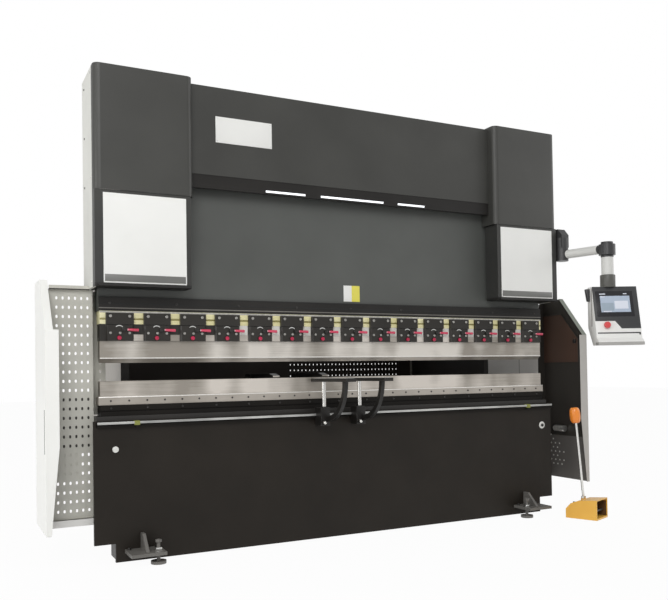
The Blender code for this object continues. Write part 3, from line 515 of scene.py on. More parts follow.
bmesh.ops.reverse_faces(clamp_marks, faces=away)
bmesh.ops.solidify(clamp_marks, geom=list(clamp_marks.faces), thickness=-0.0008)
finish_piece("clamp_screws", clamp_screws, clamp_screw_steel, "ram")
finish_piece("clamp_marks", clamp_marks, screw_steel, "ram")
finish_piece("lever_hubs", lever_hubs, oil_black, "ram", bevel=0.0012)
finish_piece("clamp_levers", clamp_levers, lever_red, "ram", bevel=0.0022)
finish_piece("lever_root_highlights", lever_root_highlights, lever_highlight_pink, "ram", bevel=0.0010)
finish_piece("clamp_buttons", clamp_buttons, button_red, "ram", bevel=0.0010)

# Punch: a long hardened bar, ground bright, held by its tang in the clamps, its steel with
# painted sheen: broad lighter and darker bands along it for reflections. A bright strip
# runs where its nose begins.
punch_steel = ground_steel("punch_steel", GROUND_DARK, (0.74, 0.70, 0.64), 0.38, painted_sheen=0.40)
put_finish(punch_steel, "punch")
punch_low, punch_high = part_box("punch")
bar_piece("punch_edge", [((punch_low.x, punch_low.y - 0.0006, punch_low.z + 0.023),
                          (punch_high.x, punch_low.y + 0.0003, punch_low.z + 0.029))],
          bright_edge, "ram")

# Cylinders: honed steel barrels bolted to the side frames, inside the tower covers.
# Only their lower ends show, over the lower covers.
barrel_steel = plated_steel("barrel_steel", (0.30, 0.30, 0.29), (0.40, 0.40, 0.39), 0.38)
put_finish(barrel_steel, "left_cylinder", "right_cylinder")

# Tower covers: folded steel hoods, powder coated dark grey, with rounded corners.
# Each is held by small screws along its outer side and has a seam over the tray.
cover_paint = sprayed_paint("cover_paint", (0.038, 0.038, 0.034), (0.050, 0.050, 0.045), 0.44,
                            peel=0.16, worn=(0.15, 0.15, 0.14))
put_finish(cover_paint, "left_tower_cover", "right_tower_cover")
cover_screws = bmesh.new()
for side, s in (("left", -1), ("right", 1)):
    low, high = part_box(side + "_tower_cover")
    outer = high.x if s > 0 else low.x
    for z in (low.z + 0.06, (low.z + high.z) / 2, high.z - 0.06):
        cap_screw(cover_screws, (outer, high.y - 0.030, z), (s, 0, 0), 0.006, 0.003)
finish_piece("cover_screws", cover_screws, oil_black, "frame")

# Lower covers and white plates: the tray below each hood carries a white enamelled
# plate with a plain raised strip along its foot, and a black ledge under it.
tray_paint = sprayed_paint("tray_paint", (0.030, 0.030, 0.028), (0.042, 0.042, 0.038), 0.40,
                           peel=0.16, worn=(0.14, 0.14, 0.13))
second_tone(tray_paint, (0.012, 0.011, 0.010), ("Object", "Z", 1.49, 1.517))
put_finish(tray_paint, "left_lower_cover", "right_lower_cover")
white_enamel = sprayed_paint("white_enamel", (0.88, 0.88, 0.85), (0.93, 0.93, 0.90), 0.38,
                             peel=0.08)
strip_grey = sprayed_paint("strip_grey", (0.17, 0.17, 0.16), (0.22, 0.22, 0.21), 0.4, peel=0.0)
put_finish(white_enamel, "left_tower_plate", "right_tower_plate")
for side in ("left", "right"):
    low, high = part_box(side + "_tower_plate")
    bar_piece(side + "_plain_strip", [((low.x + 0.006, low.y - 0.0015, low.z + 0.008),
                                       (high.x - 0.006, low.y + 0.0005, low.z + 0.046))],
              strip_grey, "frame", bevel=0.0006)
RETURN_X, RETURN_HALF = 1.583, 0.0165
bar_piece("tray_returns", [((x - RETURN_HALF, -0.600, 1.478), (x + RETURN_HALF, -0.585, 1.4999))
                           for x in (-RETURN_X, RETURN_X)],
          tray_paint, "frame")

# Side panels: pale coated sheets behind the towers, held by bright screws at their
# corners and at half height.
pale_coat = sprayed_paint("pale_coat", (0.70, 0.70, 0.65), (0.77, 0.77, 0.72), 0.42, peel=0.14)
put_finish(pale_coat, "left_side_panel", "right_side_panel")
panel_screws = bmesh.new()
for side, s in (("left", -1), ("right", 1)):
    low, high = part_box(side + "_side_panel")
    outer = high.x if s > 0 else low.x
    for y in (low.y + 0.025, high.y - 0.025):
        for z in (low.z + 0.03, (low.z + high.z) / 2, high.z - 0.03):
            cap_screw(panel_screws, (outer, y, z), (s, 0, 0), 0.007, 0.003)
finish_piece("panel_screws", panel_screws, screw_steel, "frame")

# Oil tank: a welded sheet box between the side frames with a bolted lid and a glass
# level gauge on its back wall.
UP = Vector((0, 0, 1))
put_finish(cover_paint, "oil_tank")
tank_low, tank_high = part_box("oil_tank")
LID_SCREWS, LID_INSET = 14, 0.05
lid_pitch = (tank_high.x - tank_low.x - 2 * LID_INSET) / (LID_SCREWS - 1)
lid_screws = bmesh.new()
for i in range(LID_SCREWS):
    seat = (tank_low.x + LID_INSET + i * lid_pitch, tank_high.y - 0.022, tank_high.z - 0.014)
    cap_screw(lid_screws, seat, UP, 0.007, 0.005)
finish_piece("lid_screws", lid_screws, screw_steel, "frame")
GAUGE_X, GAUGE_HALF, GAUGE_DEEP = -0.900, 0.018, 0.012
bar_piece("level_gauge_case", [((GAUGE_X - GAUGE_HALF, tank_high.y, tank_low.z + 0.10),
                                (GAUGE_X + GAUGE_HALF, tank_high.y + GAUGE_DEEP,
                                 tank_low.z + 0.36))],
          oil_black, "frame", bevel=0.003)
gauge_tube = bmesh.new()
turn_bar(gauge_tube, (GAUGE_X, tank_high.y + GAUGE_DEEP, tank_low.z + 0.125), UP, 0.007, 0.21)
oil_glass = dipped_plastic("oil_glass", (0.55, 0.36, 0.06), (0.70, 0.50, 0.12), 0.12)
finish_piece("level_gauge_tube", gauge_tube, oil_glass, "frame")

# Beam cover: the folded front sheet between the towers, coated like them. A blank
# white plate is riveted on its left part.
put_finish(cover_paint, "beam_cover")
beam_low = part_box("beam_cover")[0]
PLATE_LEFT, PLATE_RIGHT, PLATE_LOW, PLATE_HIGH = -0.903, -0.553, 2.362, 2.514
PLATE_FRONT, RIVET_INSET = beam_low.y - 0.0025, 0.010
bar_piece("blank_plate", [((PLATE_LEFT, PLATE_FRONT, PLATE_LOW),
                           (PLATE_RIGHT, beam_low.y + 0.0005, PLATE_HIGH))],
          label_white, "frame", bevel=0.001)
plate_rivets = bmesh.new()
for x in (PLATE_LEFT + RIVET_INSET, PLATE_RIGHT - RIVET_INSET):
    for z in (PLATE_LOW + RIVET_INSET, PLATE_HIGH - RIVET_INSET):
        turn_bar(plate_rivets, (x, PLATE_FRONT, z), FRONT, 0.003, 0.0016, 10, tip=0.0018)
finish_piece("plate_rivets", plate_rivets, screw_steel, "frame")

# Light strip: a black extrusion under the beam cover with three work lamps in it.
# Their diffusers glow a cool white.
put_finish(band_paint, "light_strip")
lamp_glow, lamp_tree, lamp_shader = new_finish("lamp_glow")
lamp_dots = clouds(lamp_tree, add_node(lamp_tree, "TexCoord", {}, "Object"), 60.0)
lamp_tone = tone_ramp(lamp_tree, lamp_dots, (0.80, 0.86, 0.92), (1.0, 1.0, 1.0))
feed(lamp_tree, lamp_shader, {"Base Color": lamp_tone, "Emission Color": lamp_tone,
                              "Emission Strength": 0.9})
strip_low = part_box("light_strip")[0]
LAMP_SPANS = ((-0.593, -0.333), (-0.229, 0.219), (0.326, 0.533))
bar_piece("work_lamps", [((start, strip_low.y + 0.0022, strip_low.z + 0.009),
                          (end, strip_low.y + 0.0052, strip_low.z + 0.021))
                         for start, end in LAMP_SPANS],
          lamp_glow, "frame", bevel=0.0008)


# Rear guard: a steel sheet on the rear cross beam, coated dark brown. One half is
# punched with straight rows of oblong holes; the rest is plain.
SHEET = 0.003


def perforated_sheet(name, low, high, area, pitch, hole, finish, lips=()):
    """Punch a grid of oblong holes in an upright sheet between two corners.

    Area is the punched part (x0, z0, x1, z1), pitch and hole hold a size across and one
    up the sheet, and lips are the folded bars to add.
    """
    wide = area[2] - area[0]
    tall = area[3] - area[1]
    columns, rows = round(wide / pitch[0]), round(tall / pitch[1])
    sheet = bmesh.new()
    bmesh.ops.create_grid(sheet, x_segments=columns, y_segments=rows, size=0.5)
    upright = Matrix(((1, 0, 0, 0), (0, 0, -1, 0), (0, 1, 0, 0), (0, 0, 0, 1)))
    middle = Matrix.Translation(((area[0] + area[2]) / 2, high.y, (area[1] + area[3]) / 2))
    bmesh.ops.transform(sheet, matrix=middle @ upright @ Matrix.Diagonal((wide, tall, 1, 1)),
                        verts=sheet.verts)
    punched = list(sheet.faces)
    border = [e for e in sheet.edges if e.is_boundary]
    for vert in bmesh.ops.extrude_edge_only(sheet, edges=border)["geom"]:
        if isinstance(vert, bmesh.types.BMVert):
            for axis, start, end in ((0, area[0], area[2]), (2, area[1], area[3])):
                if abs(vert.co[axis] - start) < 1e-5:
                    vert.co[axis] = low[axis]
                elif abs(vert.co[axis] - end) < 1e-5:
                    vert.co[axis] = high[axis]
    bmesh.ops.inset_individual(sheet, faces=punched, thickness=0.004)
    for face in punched:
        centre = face.calc_center_median()
        for vert in face.verts:
            vert.co.x = centre.x + math.copysign(hole[0] / 2, vert.co.x - centre.x)
            vert.co.z = centre.z + math.copysign(hole[1] / 2, vert.co.z - centre.z)
    bmesh.ops.bisect_edges(sheet, edges=list({e for f in punched for e in f.edges}), cuts=1)
    for face in punched:
        centre = face.calc_center_median()
        for vert in face.verts:
            away = vert.co - centre
            if abs(away.x) > hole[0] / 4 and abs(away.z) > hole[1] / 4:
                vert.co = centre + away * 0.78
    bmesh.ops.delete(sheet, geom=punched, context="FACES")
    bmesh.ops.recalc_face_normals(sheet, faces=sheet.faces)
    bmesh.ops.solidify(sheet, geom=list(sheet.faces), thickness=SHEET)
    reach = [v.co.y for v in sheet.verts]
    bmesh.ops.translate(sheet, verts=sheet.verts, vec=(0, high.y - max(reach), 0))
    for start, end in lips:
        cut_bar(sheet, start, end)
    bmesh.ops.recalc_face_normals(sheet, faces=sheet.faces)
    return finish_piece(name, sheet, finish, "frame")


rear_dark = sprayed_paint("rear_dark", (0.045, 0.035, 0.030), (0.065, 0.052, 0.045), 0.46, peel=0.1)
second_tone(rear_dark, (0.50, 0.48, 0.44), ("Object", "X", 1.300, 1.3197))
rear_low, rear_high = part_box("rear_guard")
REAR_PUNCHED = (0.155, 0.520, 1.175, 1.110)
REAR_PITCH, REAR_HOLE = (0.034, 0.0455), (0.008, 0.0125)
rear_sheet = perforated_sheet("punched_rear_guard", rear_low, rear_high, REAR_PUNCHED,
                              REAR_PITCH, REAR_HOLE, rear_dark)
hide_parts("rear_guard")

# Back gauge: a blacked cross beam with a ground linear rail, and two stop fingers
# with hardened bright tips that the sheet is pushed against.
put_finish(oil_black, "gauge_beam", "gauge_finger_left", "gauge_finger_right")
gauge_low, gauge_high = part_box("gauge_beam")
bar_piece("gauge_rail", [((gauge_low.x + 0.02, gauge_low.y - 0.012, gauge_high.z - 0.055),
                          (gauge_high.x - 0.02, gauge_low.y, gauge_high.z - 0.030))],
          rail_steel, "gauge", bevel=0.002)
for side in ("left", "right"):
    low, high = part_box("gauge_finger_" + side)
    bar_piece("stop_tip_" + side, [((low.x + 0.008, low.y - 0.004, high.z - 0.0235),
                                    (high.x - 0.008, low.y + 0.001, high.z - 0.0145))],
              tool_steel, "finger_" + side, bevel=0.0008)

# Sheet supports: a blacked bracket that slides on the rail, a bright post, a long
# shelf bar with a pale wear strip, a curved strut and a ball-ended clamping screw.
post_chrome = plated_steel("post_chrome", (0.66, 0.65, 0.62), (0.80, 0.79, 0.76), 0.20)
put_finish(oil_black, "support_arm_left", "support_arm_right",
           "support_bracket_left", "support_bracket_right")
wear_strip = sprayed_paint("wear_strip", (0.58, 0.58, 0.55), (0.66, 0.66, 0.63), 0.5, peel=0.2)
POST_RADIUS, POST_LONG = 0.0132, 0.1490
STRIP_INSET, STRIP_THICK = 0.010, 0.0015
for side in ("left", "right"):
    body = "support_" + side
    low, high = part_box("support_bracket_" + side)
    shelf_low, shelf_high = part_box("support_arm_" + side)
    x = (shelf_low.x + shelf_high.x) / 2
    post = bmesh.new()
    turn_bar(post, (x, low.y + 0.038, high.z - 0.1495), UP, POST_RADIUS, POST_LONG, 28)
    finish_piece("bright_post_" + side, post, post_chrome, body)
    bar_piece("wear_strip_" + side,
              [((shelf_low.x + STRIP_INSET, shelf_low.y + STRIP_INSET, shelf_high.z),
                (shelf_high.x - STRIP_INSET, shelf_high.y - STRIP_INSET,
                 shelf_high.z + STRIP_THICK))],
              wear_strip, body)
    knob = bmesh.new()
    knob_place = Matrix.Translation((x - 0.014, low.y - 0.002, high.z - 0.2455))
    bmesh.ops.create_uvsphere(knob, u_segments=16, v_segments=10, radius=0.0115,
                              matrix=knob_place)
    finish_piece("clamp_ball_" + side, knob, post_chrome, body, smooth=60)

# Front feet: blacked angle brackets on the apron. A levelling screw with a lock nut
# stands on a round pad beside the gusset.
foot_steel = blacked_steel("foot_steel", (0.13, 0.125, 0.115), (0.20, 0.19, 0.175), 0.40)
put_finish(foot_steel, "left_front_foot", "right_front_foot")
FOOT_TOP = 0.073
NUT_X, FOOT_X, FOOT_SCREW_OUT = 1.280, 1.345, 0.075
for side, s in (("left", -1), ("right", 1)):
    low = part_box(side + "_front_foot")[0]
    nut = bmesh.new()
    turn_bar(nut, (s * NUT_X, low.y + 0.070, FOOT_TOP), UP, 0.020, 0.014, 6)
    finish_piece(side + "_lock_nut", nut, screw_steel, "frame", bevel=0.0015)
    plate_screws = bmesh.new()
    for dx in (-FOOT_SCREW_OUT, FOOT_SCREW_OUT):
        seat = Vector((s * FOOT_X + dx, low.y + 0.145, FOOT_TOP))
        turn_bar(plate_screws, seat, UP, 0.012, 0.002, 20)
        cap_screw(plate_screws, seat + UP * 0.002, UP, 0.009, 0.010)
    finish_piece(side + "_foot_screws", plate_screws, oil_black, "frame")

# Side guards: folded sheets, white outside, with their inside faces painted dark as painted
# shade. A punched sheet closes the left one off, and steps back behind the ram's end towards
# the side frame.
GUARD_SHADE, GUARD_FOOT_SHADE = (0.030, 0.026, 0.022), (0.13, 0.122, 0.115)
GUARD_FRONT_SHADE, GUARD_SLOPE_SHADE = (0.50, 0.48, 0.45), (0.24, 0.26, 0.22)
for side, s in (("left", -1), ("right", 1)):
    guard_white = sprayed_paint(side + "_guard_white", (0.92, 0.92, 0.88), (0.96, 0.96, 0.93),
                                0.42, peel=0.12)
    facing = sorted((-s * 0.7, -s * 1.1))
    # Inside faces painted dark: painted shade.
    second_tone(guard_white, GUARD_SHADE, ("Normal", "X", *facing))
    if s > 0:
        # Low inside the right guard the painted shade is lighter.
        second_tone(guard_white, GUARD_FOOT_SHADE, ("Normal", "X", *facing), ("Object", "Z", 0.1, 0.52))
        # Grey front flange and darker sloping faces on the right guard: painted shade.
        second_tone(guard_white, GUARD_FRONT_SHADE, ("Normal", "Y", -1.1, -0.95))
        second_tone(guard_white, GUARD_SLOPE_SHADE, ("Normal", "Z", 0.3, 0.9))
    put_finish(guard_white, side + "_guard")
near_black_and_shadow = sprayed_paint("near_black_and_shadow", (0.022, 0.020, 0.017), (0.034, 0.030, 0.026), 0.45,
                            peel=0.12)
guard_grey = sprayed_paint("guard_grey", (0.54, 0.53, 0.47), (0.62, 0.61, 0.55), 0.42, peel=0.12)
left_low, left_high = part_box("left_guard_panel")
SHEET_LOW, SHEET_HIGH = 0.247, 1.495
second_tone(guard_grey, (0.86, 0.85, 0.82), ("Object", "Z", 0.2, SHEET_LOW + 0.001))
LIP_OUT, LIP_IN = -1.812, -1.601
lips = [((left_low.x, left_low.y, SHEET_LOW),
         (left_high.x, left_high.y - SHEET / 2, SHEET_LOW + SHEET)),
        ((left_low.x, left_low.y, left_low.z),
         (left_high.x, left_low.y + SHEET, SHEET_LOW + SHEET)),
        ((LIP_OUT, left_low.y, SHEET_HIGH - SHEET), (LIP_IN, left_high.y - SHEET / 2, SHEET_HIGH)),
        ((LIP_OUT, left_low.y, SHEET_HIGH - SHEET), (LIP_IN, left_low.y + SHEET, left_high.z))]
GUARD_PUNCHED = (-1.7866, 0.266, -1.5926, 1.473)
ROW_PITCH, GUARD_HOLE = 0.0503, (0.012, 0.018)
punched_panel = perforated_sheet("left_punched_panel", Vector((left_low.x, 0, SHEET_LOW)),
                                 Vector((left_high.x, left_high.y, SHEET_HIGH)), GUARD_PUNCHED,
                                 (0.0323, ROW_PITCH), GUARD_HOLE, guard_grey, lips)
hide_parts("left_guard_panel")
STEP_IN, STEP_Y, STEP_LOW = -1.500, -0.620, 0.805
STEP_PUNCHED = (-1.5455, 0.8195, -1.5125, 1.473)
perforated_sheet("left_panel_step", Vector((left_high.x - SHEET, 0, STEP_LOW)),
                 Vector((STEP_IN, STEP_Y, SHEET_HIGH)), STEP_PUNCHED, (0.033, ROW_PITCH),
                 GUARD_HOLE, guard_grey,
                 [((left_high.x - SHEET, left_high.y - SHEET, STEP_LOW),
                   (left_high.x, STEP_Y - SHEET, SHEET_HIGH))])

# Close behind the punched sheet lie the dark stay that carries it and the stay's pale
# foot, which close its holes at mid height. A dark strip along its top lip is the painted
# shadow under the lip.
STAY_OUT, STAY_FRONT, STAY_BACK = left_low.x + 0.012, left_high.y + 0.0005, left_high.y + 0.0030
bar_piece("panel_stay", [((STAY_OUT, STAY_FRONT, 0.632), (left_high.x - 0.004, STAY_BACK, 0.924))],
          near_black_and_shadow, "frame")
bar_piece("panel_foot", [((STAY_OUT, STAY_FRONT, 0.478), (-1.664, STAY_BACK, 0.631))],
          guard_grey, "frame")
# The painted shadow under the top lip.
bar_piece("top_lip_shadow", [((LIP_OUT, left_low.y - 0.0008, SHEET_HIGH - SHEET),
                            (LIP_IN, left_low.y + 0.0005, SHEET_HIGH + 0.003))],
          near_black_and_shadow, "frame")

# Right cross panel: a plain grey sheet with a few dark dots and a dark fold line, a
# flange at its inner edge and a dark tab at its upper outer corner.
panel_grey = sprayed_paint("panel_grey", (0.66, 0.65, 0.63), (0.74, 0.73, 0.71), 0.42, peel=0.12)
# Its outer end, at the corner against the guard, is painted dark: painted shade.
second_tone(panel_grey, GUARD_SHADE, ("Object", "X", 1.785, 1.86))
put_finish(panel_grey, "right_guard_panel")
right_low, right_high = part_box("right_guard_panel")
right_face = right_high.y - SHEET
DOT_X, DOT_Z = 1.425, 1.300
panel_marks = bmesh.new()
for i in range(5):
    for k in range(2):
        spot = (DOT_X + 0.030 * i, right_face, DOT_Z - 0.060 * k - 0.012 * i)
        turn_bar(panel_marks, spot, FRONT, 0.005, 0.0008, 12)
cut_bar(panel_marks, (1.598, right_face - 0.0008, 0.262), (1.601, right_face + 0.0004, 1.488))
finish_piece("panel_marks", panel_marks, near_black_and_shadow, "frame")
bar_piece("panel_inner_edge", [((1.308, right_face, 0.960),
                                (right_low.x + 0.0002, right_high.y, 1.230))],
          panel_grey, "frame")
bar_piece("corner_tab", [((1.8118, right_face, 1.4948), (1.8518, right_high.y, 1.5400))],
          near_black_and_shadow, "frame")

# Window of the right guard: a pane painted dark brown as painted shade, in a black rubber channel.
# Its upper front corner is cut off at a slant.
shaded_pane, pane_tree, pane_shader = new_finish("pane_painted_shade")
pane_cloud = clouds(pane_tree, add_node(pane_tree, "TexCoord", {}, "Object"), 1.6)
feed(pane_tree, pane_shader, {
    "Roughness": 0.30,
    "Base Color": tone_ramp(pane_tree, pane_cloud, (0.058, 0.031, 0.021), (0.090, 0.050, 0.035))})
put_finish(shaded_pane, "right_guard_window")
pane_low, pane_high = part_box("right_guard_window")
ring = [(pane_low.y, pane_low.z), (pane_low.y, pane_low.z + 0.170),
        (pane_low.y + 0.171, pane_high.z), (pane_high.y, pane_high.z)]
channel = bmesh.new()
for (y0, z0), (y1, z1) in zip(ring, ring[1:]):
    turn_bar(channel, (pane_low.x, y0, z0), (0, y1 - y0, z1 - z0), 0.0035,
             math.dist((y0, z0), (y1, z1)), 8)
finish_piece("window_channel", channel, near_black_and_shadow, "frame")

# Small parts on the guards: on the right one's inside a black catch with a pale rim, the
# end of a bright strut, a dark slot and round vent holes, drawn as white discs of painted
# light where light shines through them; on the left one a narrow slot.
INWARD = Vector((-1, 0, 0))
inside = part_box("right_guard")[1].x - SHEET
CATCH_Y, CATCH_Z = -0.800, 1.223
catch_rim = bmesh.new()
turn_bar(catch_rim, (inside + 0.0002, CATCH_Y, CATCH_Z), INWARD, 0.0225, 0.004, 28)
finish_piece("catch_rim", catch_rim, screw_steel, "frame")
catch = bmesh.new()
turn_bar(catch, (inside - 0.0038, CATCH_Y, CATCH_Z), INWARD, 0.0180, 0.010, 24, tip=0.015)
finish_piece("guard_catch", catch, oil_black, "frame", bevel=0.001)
strut = bmesh.new()
turn_bar(strut, (inside - 0.026, -0.705, 0.575), (0, 1, 0), 0.024, 0.105, 24)
cut_bar(strut, (inside - 0.014, -0.690, 0.568), (inside + 0.0002, -0.620, 0.582))
finish_piece("strut_end", strut, screw_steel, "frame", bevel=0.002)
bar_piece("guard_slot", [((inside - 0.0010, -0.897, 0.420), (inside + 0.0002, -0.872, 0.525))],
          near_black_and_shadow, "frame")
# White discs for the vent holes: painted light seen through them.
VENT_ROWS = (1, 1, 2, 3, 3, 4, 3, 4, 4)
VENT_Y, VENT_TOP, VENT_PITCH, VENT_DOWN = -0.505, 0.550, 0.044, 0.031
lit_vent_spots = bmesh.new()
for row, held in enumerate(VENT_ROWS):
    for i in range(held):
        y = VENT_Y - VENT_PITCH * (i + (0.5 if row % 2 else 0.0))
        z = VENT_TOP - VENT_DOWN * row
        turn_bar(lit_vent_spots, (inside + 0.0002, y, z), INWARD, 0.0060, 0.0008, 12)
finish_piece("vent_painted_light", lit_vent_spots, washer_white_and_vent_light, "frame")
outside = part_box("left_guard")[0].x
bar_piece("outer_slot", [((outside - 0.0006, -0.867, 0.620), (outside + 0.0002, -0.853, 0.850))],
          near_black_and_shadow, "frame")

# Pendant arm: a cast knuckle, an aluminium tube and a cast elbow carry the drop tube.
# The castings are painted dark, and a ring closes the joint under the elbow.
CASTING = (0.042, 0.042, 0.043)
knuckle_grey = sprayed_paint("knuckle_grey", (0.036, 0.036, 0.037), (0.050, 0.050, 0.051), 0.40,
                             peel=0.12, worn=(0.12, 0.12, 0.12))
put_finish(knuckle_grey, "pendant_bracket")
drop_low, drop_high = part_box("pendant_drop")
elbow = Vector(((drop_low.x + drop_high.x) / 2, (drop_low.y + drop_high.y) / 2, drop_high.z))
KNUCKLE_END, KNUCKLE_START = -0.948, -0.80
ELBOW_END, ELBOW_START = -1.320, -1.183
for name, node in (("arm_silver", "pendant_arm"), ("drop_silver", "pendant_drop")):
    silver = sprayed_paint(name, (0.70, 0.70, 0.67), (0.78, 0.78, 0.75), 0.34, peel=0.08)
    put_finish(silver, node)
    if node == "pendant_arm":
        second_tone(silver, CASTING, ("Object", "Y", KNUCKLE_END, KNUCKLE_START))
        second_tone(silver, CASTING, ("Object", "Y", ELBOW_END, ELBOW_START))
elbow_ring = bmesh.new()
turn_bar(elbow_ring, elbow - UP * 0.014, UP, 0.0415, 0.0138, 32)
finish_piece("elbow_ring", elbow_ring, knuckle_grey, "arm")


# Pendant panel: a moulded white case with a dark face, a screen, a stop button and a
# tray. Its own axes are x along the face, s down the face from its top edge, and out.
FACE_TOP, FACE_HIGH, FACE_TURN = 1.573, 0.335, -26.0
CASE_MIDDLE = Vector((1.746, -1.240, 0))
CASE_LEFT, CASE_RIGHT, CASE_HIGH = -0.132, 0.174, 0.400
CASE_BACK, CASE_FRONT = 0.050, -0.030
turn = Matrix.Translation(CASE_MIDDLE) @ Matrix.Rotation(math.radians(FACE_TURN), 4, "Z")
lean = math.atan2(0.083, FACE_HIGH)
face_place = (turn @ Matrix.Translation((0, CASE_FRONT, FACE_TOP))
              @ Matrix.Rotation(lean, 4, "X").inverted())


def face_slab(shape, outline, rise, sink=0.0006):
    """Lay a thin plate on the sloping face: outline in x and s, rising out of it."""
    corners = [face_place @ Vector((x, sink, -s)) for x, s in outline]
    cut_plate(shape, corners, face_place.to_3x3() @ Vector((0, -rise - sink, 0)))


def oblong(x0, s0, x1, s1):
    """Corners of an upright oblong on the panel's face."""
    return [(x0, s0), (x1, s0), (x1, s1), (x0, s1)]


def turned_bars(name, bars, place, finish, body, bevel=0.0):
    """A piece made of square bars that are cut square and then turned into place."""
    shape = bmesh.new()
    for low, high in bars:
        bmesh.ops.transform(shape, verts=cut_bar(shape, low, high), matrix=place)
    return finish_piece(name, shape, finish, body, bevel)


case_foot = FACE_TOP - CASE_HIGH
side_view = [(CASE_BACK, FACE_TOP), (CASE_FRONT, FACE_TOP), (-0.113, FACE_TOP - FACE_HIGH),
             (-0.117, FACE_TOP - FACE_HIGH - 0.017), (-0.150, case_foot + 0.025),
             (-0.150, case_foot), (-0.040, case_foot), (CASE_BACK, FACE_TOP - 0.7 * CASE_HIGH)]
case = bmesh.new()
cut_plate(case, [turn @ Vector((CASE_LEFT, y, z)) for y, z in side_view],
          turn.to_3x3() @ Vector((CASE_RIGHT - CASE_LEFT, 0, 0)))
panel_case = finish_piece("pendant_case", case, white_enamel, "pendant", bevel=0.003)
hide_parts("pendant_panel")
collar = bmesh.new()
axis = Vector((elbow.x, elbow.y, FACE_TOP - 0.004))
turn_bar(collar, axis, UP, 0.050, drop_low.z - 0.0004 - axis.z, 32)
collar_grey = sprayed_paint("collar_grey", (0.085, 0.084, 0.074), (0.115, 0.114, 0.102), 0.42)
finish_piece("pendant_collar", collar, collar_grey, "pendant", bevel=0.004)

bezel_dark = sprayed_paint("bezel_dark", (0.040, 0.041, 0.043), (0.050, 0.051, 0.053), 0.36,
                           peel=0.14)
bezel_black = sprayed_paint("bezel_black", (0.010, 0.010, 0.013), (0.015, 0.015, 0.019), 0.24,
                            peel=0.0)
screen_blue = sprayed_paint("screen_blue", (0.46, 0.54, 0.66), (0.52, 0.60, 0.72), 0.22, peel=0.0)
screen_pale = sprayed_paint("screen_pale", (0.78, 0.82, 0.92), (0.84, 0.88, 0.96), 0.22, peel=0.0)
screen_grey = sprayed_paint("screen_grey", (0.34, 0.42, 0.50), (0.40, 0.48, 0.56), 0.22, peel=0.0)
DARK_LEFT, DARK_RIGHT = CASE_LEFT + 0.002, CASE_RIGHT - 0.001
dark_outline = [(DARK_LEFT, 0.001), (DARK_RIGHT, 0.001), (DARK_RIGHT, 0.298), (0.0425, 0.298),
                (0.003, 0.2445), (DARK_LEFT, 0.2445)]
TRAY_TOP, TRAY_RIGHT = 0.3325, CASE_RIGHT - 0.008
for name, finish, slot, outlines, rise, bevel in (
        ("panel_dark_face", bezel_dark, "dark_paint", [dark_outline], 0.0016, 0.0006),
        ("screen_bezel", bezel_black, "black_steel", [oblong(-0.112, 0.034, 0.140, 0.214)],
         0.0030, 0.001),
        ("touch_screen", screen_blue, "white_paint", [oblong(-0.083, 0.0685, 0.117, 0.1835)],
         0.0036, 0.0),
        ("screen_blocks", screen_pale, "white_paint", [oblong(0.012, 0.104, 0.103, 0.160),
                                                       oblong(-0.079, 0.071, -0.050, 0.078),
                                                       oblong(-0.068, 0.175, -0.012, 0.1815)],
         0.0040, 0.0),
        ("screen_field", screen_grey, "white_paint", [oblong(-0.078, 0.118, 0.005, 0.173)],
         0.0040, 0.0),
        ("bezel_strips", screen_pale, "white_paint", [oblong(-0.086, 0.051, -0.044, 0.058),
                                                      oblong(0.075, 0.051, 0.101, 0.057)],
         0.0034, 0.0),
        ("tray_slot", bezel_dark, "dark_paint",
         [oblong(CASE_LEFT + 0.010, 0.3245, TRAY_RIGHT, TRAY_TOP),
          oblong(TRAY_RIGHT - 0.010, TRAY_TOP, TRAY_RIGHT, 0.3420)], 0.0012, 0.0)):
    shape = bmesh.new()
    for outline in outlines:
        face_slab(shape, outline, rise)
    finish_piece(name, shape, finish, "pendant", bevel)
stop_red = dipped_plastic("stop_red", (0.72, 0.060, 0.070), (0.84, 0.115, 0.100))
stop_button = bmesh.new()
out = (face_place.to_3x3() @ FRONT).normalized()
seat = face_place @ Vector((-0.057, 0, -0.2765))
turn_bar(stop_button, seat, out, 0.014, 0.014, 20)
turn_bar(stop_button, seat + out * 0.012, out, 0.0235, 0.014, 28, tip=0.0200)
finish_piece("stop_button", stop_button, stop_red, "pendant", bevel=0.002)
lip_grey = sprayed_paint("lip_grey", (0.42, 0.41, 0.39), (0.50, 0.49, 0.47), 0.40, peel=0.05)
turned_bars("tray_lip", [((CASE_LEFT - 0.001, -0.1515, case_foot - 0.001),
                          (CASE_RIGHT + 0.001, -0.100, case_foot + 0.020)),
                         ((CASE_LEFT - 0.0015, -0.040, FACE_TOP - 0.270),
                          (CASE_LEFT + 0.0005, -0.020, FACE_TOP - 0.010))],
            turn, lip_grey, "pendant", bevel=0.0015)
grip = bmesh.new()
for vert in cut_bar(grip, (CASE_LEFT - 0.030, -0.002, FACE_TOP - 0.098),
                    (CASE_LEFT + 0.001, 0.032, FACE_TOP - 0.012)):
    if vert.co.z < FACE_TOP - 0.05 and vert.co.x < CASE_LEFT:
        vert.co.x += 0.014
    vert.co = turn @ vert.co
finish_piece("side_grip", grip, knuckle_grey, "pendant", bevel=0.006)

